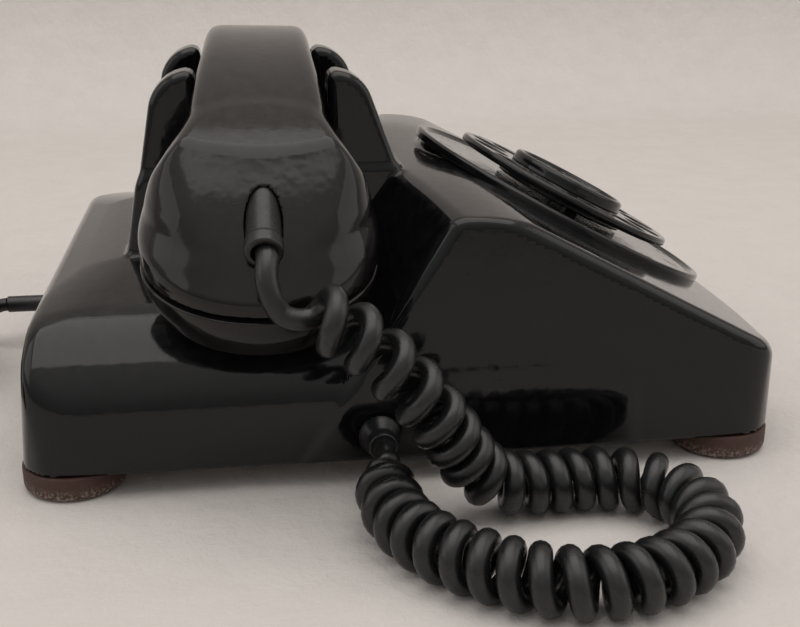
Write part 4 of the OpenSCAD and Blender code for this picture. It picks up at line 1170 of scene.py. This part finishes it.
class TelephoneHousing(bpy.types.Operator):
    """Moulds the housing with its cradle, decks and dial opening, and turns the leather feet"""

    bl_idname = "telephone.housing"
    bl_label = "Housing and feet"

    def execute(self, context):
        s = context.scene.telephone_housing
        finish = slot_finishes()
        edge = s.edge / MM
        dial = on_dial()

        def field(x, y, z):
            body = body_distance(x, y, z, edge)
            u, v, w = into(dial, x, y, z)
            collar = drum(u, v, w, PLATE_R - 1.9, -DECK_DROP - 9, -DECK_DROP, 0.3)
            outer = joined(body, collar, 1.2)
            wall = np.maximum(np.maximum(outer, -(body + WALL)), FOOT_H - z)
            wall = common(wall, FOOT_H - z, 0.8)
            wall = np.maximum(wall, -drum(u, v, w, WELL_R, -WELL_DEPTH, 60, 0.2))
            wall = np.maximum(wall, DIAL_HOLE_R - np.hypot(u, v) + np.where(w < 20, 0, CLEAR))
            bore = PLUNGER_BORE_R - np.hypot(np.abs(x) - PLUNGER_X, y - SEAT_Y)
            wall = np.maximum(wall, bore - np.where(z > 60, 0, CLEAR))
            port = CORD_BORE_R - np.hypot(y - CURL_PORT_Y, z - PORT_Z)
            wall = np.maximum(wall, port - np.where(x < -60, 0, CLEAR))
            port = CORD_BORE_R - np.hypot(x - LINE_PORT_X, z - PORT_Z)
            return np.maximum(wall, port - np.where(y > 60, 0, CLEAR))

        shell = moulded("housing_moulding", field, (-104, -118, 2), (104, 118, 112), s.grid / MM)
        fit_piece(shell, "case", "housing_plastic", finish["housing_plastic"], "housing")
        foot = [
            (RIVET_R, 2.5), (RIVET_SEAT_R, 2.5, 0.3), (RIVET_SEAT_R, 0, 0.4),
            (FOOT_R, 0, 2.5), (FOOT_R, FOOT_H, 0.6), (RIVET_R, FOOT_H),
        ]
        rows = (FRONT_Y + FRONT_BOW + FOOT_INSET, BACK_Y - FOOT_INSET)
        places = [at(side * (HALF_W - FOOT_INSET), y, 0) for side in (-1, 1) for y in rows]
        feet = gathered("leather_feet", (turned("foot", foot, place, 96, 12) for place in places))
        fit_piece(feet, "case", "foot_leather", finish["foot_leather"], "feet")
        return {"FINISHED"}


# ---------- dial ----------


class TelephoneDial(bpy.types.Operator):
    """Makes the number plate and its numbers, the finger wheel, and the raised ring with its card"""

    bl_idname = "telephone.dial"
    bl_label = "Dial"

    def execute(self, context):
        s = context.scene.telephone_dial
        finish = slot_finishes()
        gloss = finish["housing_plastic"]
        plate = turned(
            "number_plate_disc",
            [
                (SHAFT_R + 4, -1.5), (PLATE_R - 2.2, -1.5), (PLATE_R - 1.6, -2.2, 0.3),
                (PLATE_R, -2.2, 0.4), (PLATE_R, 0.9, 1.1), (PLATE_R - 2.4, 0.9, 0.9),
                (PLATE_R - 3.6, 0, 1), (SHAFT_R + 4, 0),
            ],
            on_dial(), 192,
        )
        fit_piece(plate, "case", "housing_plastic", gloss, "number_plate")
        ink = matte_finish("number_ink", tuple(s.ink), tuple(c * 0.8 for c in s.ink), 500, 0.5, 0.1)
        bm = bmesh.new()
        for i in range(FINGER_HOLES):
            text = bpy.data.curves.new("number", "FONT")
            text.body = str((i + 1) % FINGER_HOLES)
            text.size = s.digit * 1.35
            text.align_x = "CENTER"
            text.align_y = "CENTER"
            text.extrude = 0.00002
            text.resolution_u = 6
            holder = bpy.data.objects.new("number", text)
            bpy.context.scene.collection.objects.link(holder)
            bpy.context.view_layer.update()
            solid = holder.evaluated_get(bpy.context.evaluated_depsgraph_get())
            mesh = bpy.data.meshes.new_from_object(solid)
            a = math.radians(FINGER_A0 + FINGER_STEP * i)
            mesh.transform(on_dial(0.04) @ at(NUMBER_R * math.cos(a), NUMBER_R * math.sin(a), 0))
            bm.from_mesh(mesh)
            bpy.data.objects.remove(holder)
        digits = finished("plate_numbers", bm)
        fit_piece(digits, "case", "housing_plastic", ink)

        def wheel_field(x, y, z):
            r = np.hypot(x, y)
            disc = common(r - WHEEL_R, np.abs(z - WHEEL_Z - WHEEL_T / 2) - WHEEL_T / 2, 0.7)
            rim = np.hypot(r - (WHEEL_R - RIM_INSET), z - WHEEL_Z - 0.6) - RIM_BEAD_R
            wheel = joined(disc, common(rim, WHEEL_Z - 0.75 - z, 0.2), 0.5)
            wheel = joined(wheel, drum(x, y, z, HUB_R, 0.6, WHEEL_Z + 0.5, 0.4), 1.0)
            angle = np.degrees(np.arctan2(y, x))
            near = np.floor((angle - FINGER_A0 + FINGER_STEP / 2) / FINGER_STEP) % FINGER_PLACES
            a = np.radians(FINGER_A0 + FINGER_STEP * near)
            hole = np.hypot(x - FINGER_PCR * np.cos(a), y - FINGER_PCR * np.sin(a)) - FINGER_R
            hole = np.where(near > FINGER_HOLES - 0.5, CLEAR, hole)
            wheel = common(wheel, -hole, 0.8)
            return np.maximum(wheel, SHAFT_R - r)

        wheel = moulded(
            "finger_wheel_moulding", wheel_field, (-42, -42, -0.6), (42, 42, 8), 0.55, on_dial(),
        )
        fit_piece(wheel, "dial_wheel", "housing_plastic", gloss, "finger_wheel")
        z0 = WHEEL_Z + WHEEL_T
        ring = turned(
            "card_ring_turned",
            [
                (RING_R - 3, z0), (RING_R + 0.2, z0, 0.2), (RING_R, z0 + 1.2, 0.6),
                (RING_R, z0 + RING_H, 1.45), (RING_R - 3, z0 + RING_H, 1.4),
            ],
            on_dial(), 160, 8,
        )
        fit_piece(ring, "dial_wheel", "housing_plastic", gloss, "card_ring")
        low, high, card_r = z0 + 1.4, z0 + 1.8, RING_R - CARD_GAP
        card = turned("card_disc", [(0, low), (card_r, low), (card_r, high), (0, high)], on_dial(), 96)
        fit_piece(card, "dial_wheel", "card_paper", finish["card_paper"], "number_card")
        return {"FINISHED"}


# ---------- handset ----------

BELL_TOP = 33.7
BELL_FOOT = 2.3
FACE_SLOPE = 1.066
CREASE_R = 61.0
CREASE_CLOSE = 28.0
FACE_EASE = 1.46
CUP = outline([
    (-60, 0), (CAP_R - 0.8, 0, 0.5), (CAP_R - 0.6, 9.5, 20), (CAP_R - 4, 21.2, 30),
    (CAP_R - 9, 29, 12), (16.5, 35.3, 3), (-60, 35.3),
])


class TelephoneHandset(bpy.types.Operator):
    """Moulds the handset, turns its two caps, and fits the cord's rubber boot"""

    bl_idname = "telephone.handset"
    bl_label = "Handset"

    def execute(self, context):
        s = context.scene.telephone_handset
        finish = slot_finishes()
        gloss = finish["handset_plastic"]
        neck = s.neck / MM
        arc_z = HANDLE_TOP - HANDLE_R
        laid = as_laid()
        right_cup = at_cup(1)
        boot = boot_place()

        def step(t):
            t = np.clip(t, 0, 1)
            return t * t * (3 - 2 * t)

        def field(x, y, z):
            ax = np.abs(x)
            q = np.hypot(ax, z - arc_z) - (HANDLE_R - HANDLE_T / 2)
            half = HANDLE_W / 2 + 1.2 + HANDLE_FLARE * step((ax - 20) / 55)
            a = np.abs(q) - HANDLE_T / 2 + HANDLE_EDGE
            b = np.abs(y - SEAT_Y) - half + HANDLE_EDGE
            handle = corner_distance(a, b, HANDLE_EDGE)
            handle = np.maximum(handle, ax - 100)
            u, v, w = into(right_cup, ax, y, z)
            r = np.hypot(u, v)
            bell = joined(handle, outline_distance(CUP, r, w), neck)
            bell = np.maximum(bell, -w)
            bell = common(bell, q - HANDLE_T / 2, 1.5)
            # Outer face: level sections are arcs, wide at the top edge and as wide as the cap below
            down = np.clip((BELL_TOP - w) / (BELL_TOP - BELL_FOOT), 0, 1)
            far = 0.28 + (BELL_TOP - w) * FACE_SLOPE + 0.6 * (1 - np.cos(2 * np.pi * down))
            curve = CREASE_R - CREASE_CLOSE * step(down)
            mid = far - curve
            front = (np.where(u > mid, np.hypot(u - mid, v), np.abs(v)) - curve) / FACE_EASE
            bell = common(bell, front, 1.0 + 6.5 * step((31 - w) / 14) * step((w - 5) / 9))
            bell = np.minimum(bell, np.maximum(r - 30, np.abs(w + 3) - 5))
            u, v, w = into(boot, x, y, z)
            socket = np.maximum(np.hypot(u, v) - BOOT_R - SOCKET_GAP, SOCKET_FLOOR - w)
            return common(bell, -socket, 0.6)

        shell = moulded("handset_moulding", field, (-119, 6, 54), (119, 77, 120), s.grid / MM, laid)
        fit_piece(shell, "handset", "handset_plastic", gloss, "handset_handle")
        cap = [
            (0, -15.5), (22, -16.8, 3), (CAP_R - 7, -16.5, 6), (CAP_R - 0.9, -6, 14),
            (CAP_R - 0.7, -1.5, 0.6), (30.3, -1.5), (30.3, -9), (27.4, -13.5), (0, -13.5),
        ]
        # Rings of holes in each cap: ring radius, number of holes, hole radius
        for side, unit, holes in (
            (-1, "transmitter_cap", [(0, 1, 1.3), (6, 6, 1.3), (12, 12, 1.3)]),
            (1, "receiver_cap", [(0, 1, 1.5), (6.5, 6, 1.5)]),
        ):
            obj = turned(unit + "_turned", cap, laid @ at_cup(side), 160, 4)
            cutters = []
            for radius, count, r in holes:
                for i in range(count):
                    a = 2 * math.pi * i / count
                    drill = [(0, -20), (r, -20), (r, -10), (0, -10)]
                    spot = at(radius * math.cos(a), radius * math.sin(a), 0)
                    cutters.append(turned("drill", drill, laid @ at_cup(side) @ spot, 20))
            drilled(obj, [gathered("drills", cutters)])
            fit_piece(obj, "handset", "handset_plastic", gloss, unit)
        bore, lip = STRAND_D / 2 + 0.2, BOOT_R + 0.5
        profile = [
            (bore, 0), (BOOT_R, 0), (BOOT_R, BOOT_L - 4.6, 0.5),
            (lip, BOOT_L - 3.6, 0.5), (lip, BOOT_L, 0.7), (bore, BOOT_L, 0.5),
        ]
        sleeve = turned("cord_boot", profile, laid @ boot, 72, 10)
        fit_piece(sleeve, "handset", "cord_rubber", finish["cord_rubber"], "handset_boot")
        return {"FINISHED"}


# ---------- cords ----------


class TelephoneCords(bpy.types.Operator):
    """Winds the curly cord, lays the line cord in its tied coil, and makes the glands and the plug"""

    bl_idname = "telephone.cords"
    bl_label = "Cords"

    def execute(self, context):
        s = context.scene.telephone_cord
        finish = slot_finishes()
        rubber = finish["cord_rubber"]
        line, length = wound_strand(s.close)
        strand = tube("curly_strand", line, STRAND_D / 2, s.sides)
        strand.data.materials.append(rubber)
        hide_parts("curly_cord")
        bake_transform(strand)
        lead_line, lead_length = wound_lead()
        lead = tube("line_lead", lead_line, LINE_D / 2, 12)
        fit_piece(lead, "case", "cord_rubber", rubber, "line_cord", "line_cord_coil")
        plug = self.plug(finish)
        inner, outer = -WALL - GLAND_GRIP, GLAND_GRIP
        for solid, port, axis, tail_r, tail_end in (
            ("curl_gland", (-HALF_W + 0.8, CURL_PORT_Y, PORT_Z), "Y", STRAND_D / 2 + 1, 8.8),
            ("line_gland", (LINE_PORT_X, BACK_Y - 0.8, PORT_Z), "X", LINE_D / 2 + 0.5, 24),
        ):
            profile = [
                (0, inner - 2), (6.1, inner - 2, 0.5), (6.1, inner), (4.5, inner), (4.5, outer),
                (6.1, outer, 0.3), (5.6, 2, 1), (tail_r, 5, 2), (tail_r, tail_end, 0.4), (0, tail_end),
            ]
            place = at(*port) @ Matrix.Rotation(-math.pi / 2, 4, axis)
            gland = turned(solid + "_turned", profile, place, 64, 10)
            fit_piece(gland, "case", "cord_rubber", rubber, solid)
        return {"FINISHED"}

    def plug(self, finish):
        """A flat moulded plug with grip ribs and four round pins."""
        place = at(*PLUG_AT)

        def field(x, y, z):
            body = common(np.abs(x + 15) - 15, np.abs(y) - 12, 4.0)
            body = common(body, np.abs(z) - 9.9, 2.5)
            for k in range(4):
                rib = np.hypot(x + 5 + 3.2 * k, np.abs(y) - 12.6) - 1.2
                body = common(body, -rib, 0.5)
            return body

        plug = moulded("plug_moulding", field, (-32, -14, -11.5), (2, 14, 11.5), 0.8, place)
        fit_piece(plug, "case", "cord_rubber", finish["cord_rubber"], "line_plug")
        pin = [(0, -0.5), (1.8, -0.5), (1.8, 12, 0.8), (0, 12)]
        ahead = Matrix.Rotation(-math.pi / 2, 4, "Y")
        places = [place @ at(-30, y, z) @ ahead for y in (-5, 5) for z in (-4, 4)]
        pins = gathered("plug_pins", (turned("pin", pin, spot, 24, 20) for spot in places))
        fit_piece(pins, "case", "spring_brass", finish["spring_brass"])
        pins.parent = plug
        return plug


# ---------- pieces that keep their solids ----------


class TelephoneWorks(bpy.types.Operator):
    """Gives the bell, the dial's works, the switch hook, the fasteners and the base their finishes"""

    bl_idname = "telephone.works"
    bl_label = "Works"

    def execute(self, context):
        finish = slot_finishes()
        slots = {p["node"]: p["material_slot"] for p in frame["record"]["subparts"]}
        for name, obj in frame["nodes"].items():
            obj.data.materials.clear()
            obj.data.materials.append(finish[slots[name]])
        return {"FINISHED"}


class TelephonePanel(bpy.types.Panel):
    """Lists the telephone's pieces and their settings"""

    bl_idname = "VIEW3D_PT_telephone"
    bl_label = "Telephone"
    bl_space_type = "VIEW_3D"
    bl_region_type = "UI"
    bl_category = "Telephone"

    def draw(self, context):
        for title, group, operator in STEPS:
            box = self.layout.box()
            box.label(text=title)
            settings = getattr(context.scene, group)
            for key in settings.bl_rna.properties.keys():
                if key not in {"rna_type", "name"}:
                    box.prop(settings, key)
            box.operator(operator)


STEPS = [
    ("Stage", "telephone_stage", "telephone.stage"),
    ("Works", "telephone_finish", "telephone.works"),
    ("Cords", "telephone_cord", "telephone.cords"),
    ("Housing", "telephone_housing", "telephone.housing"),
    ("Dial", "telephone_dial", "telephone.dial"),
    ("Handset", "telephone_handset", "telephone.handset"),
]
GROUPS = {
    "telephone_stage": TelephoneStageSettings,
    "telephone_finish": TelephoneFinishSettings,
    "telephone_cord": TelephoneCordSettings,
    "telephone_housing": TelephoneHousingSettings,
    "telephone_dial": TelephoneDialSettings,
    "telephone_handset": TelephoneHandsetSettings,
}
OPERATORS = (
    TelephoneStage, TelephoneWorks, TelephoneCords, TelephoneHousing, TelephoneDial, TelephoneHandset,
    TelephonePanel,
)


def register():
    """Registers the settings, the operators and the panel."""
    for cls in (*GROUPS.values(), *OPERATORS):
        bpy.utils.register_class(cls)
    for key, cls in GROUPS.items():
        setattr(bpy.types.Scene, key, PointerProperty(type=cls))


def unregister():
    """Takes them out again."""
    for key in GROUPS:
        delattr(bpy.types.Scene, key)
    for cls in reversed((*GROUPS.values(), *OPERATORS)):
        bpy.utils.unregister_class(cls)


def main():
    """Builds everything in order."""
    register()
    for _, _, operator in STEPS:
        area, call = operator.split(".")
        if getattr(getattr(bpy.ops, area), call)() != {"FINISHED"}:
            raise RuntimeError(operator + " didn't finish")


if __name__ == "__main__":
    main()
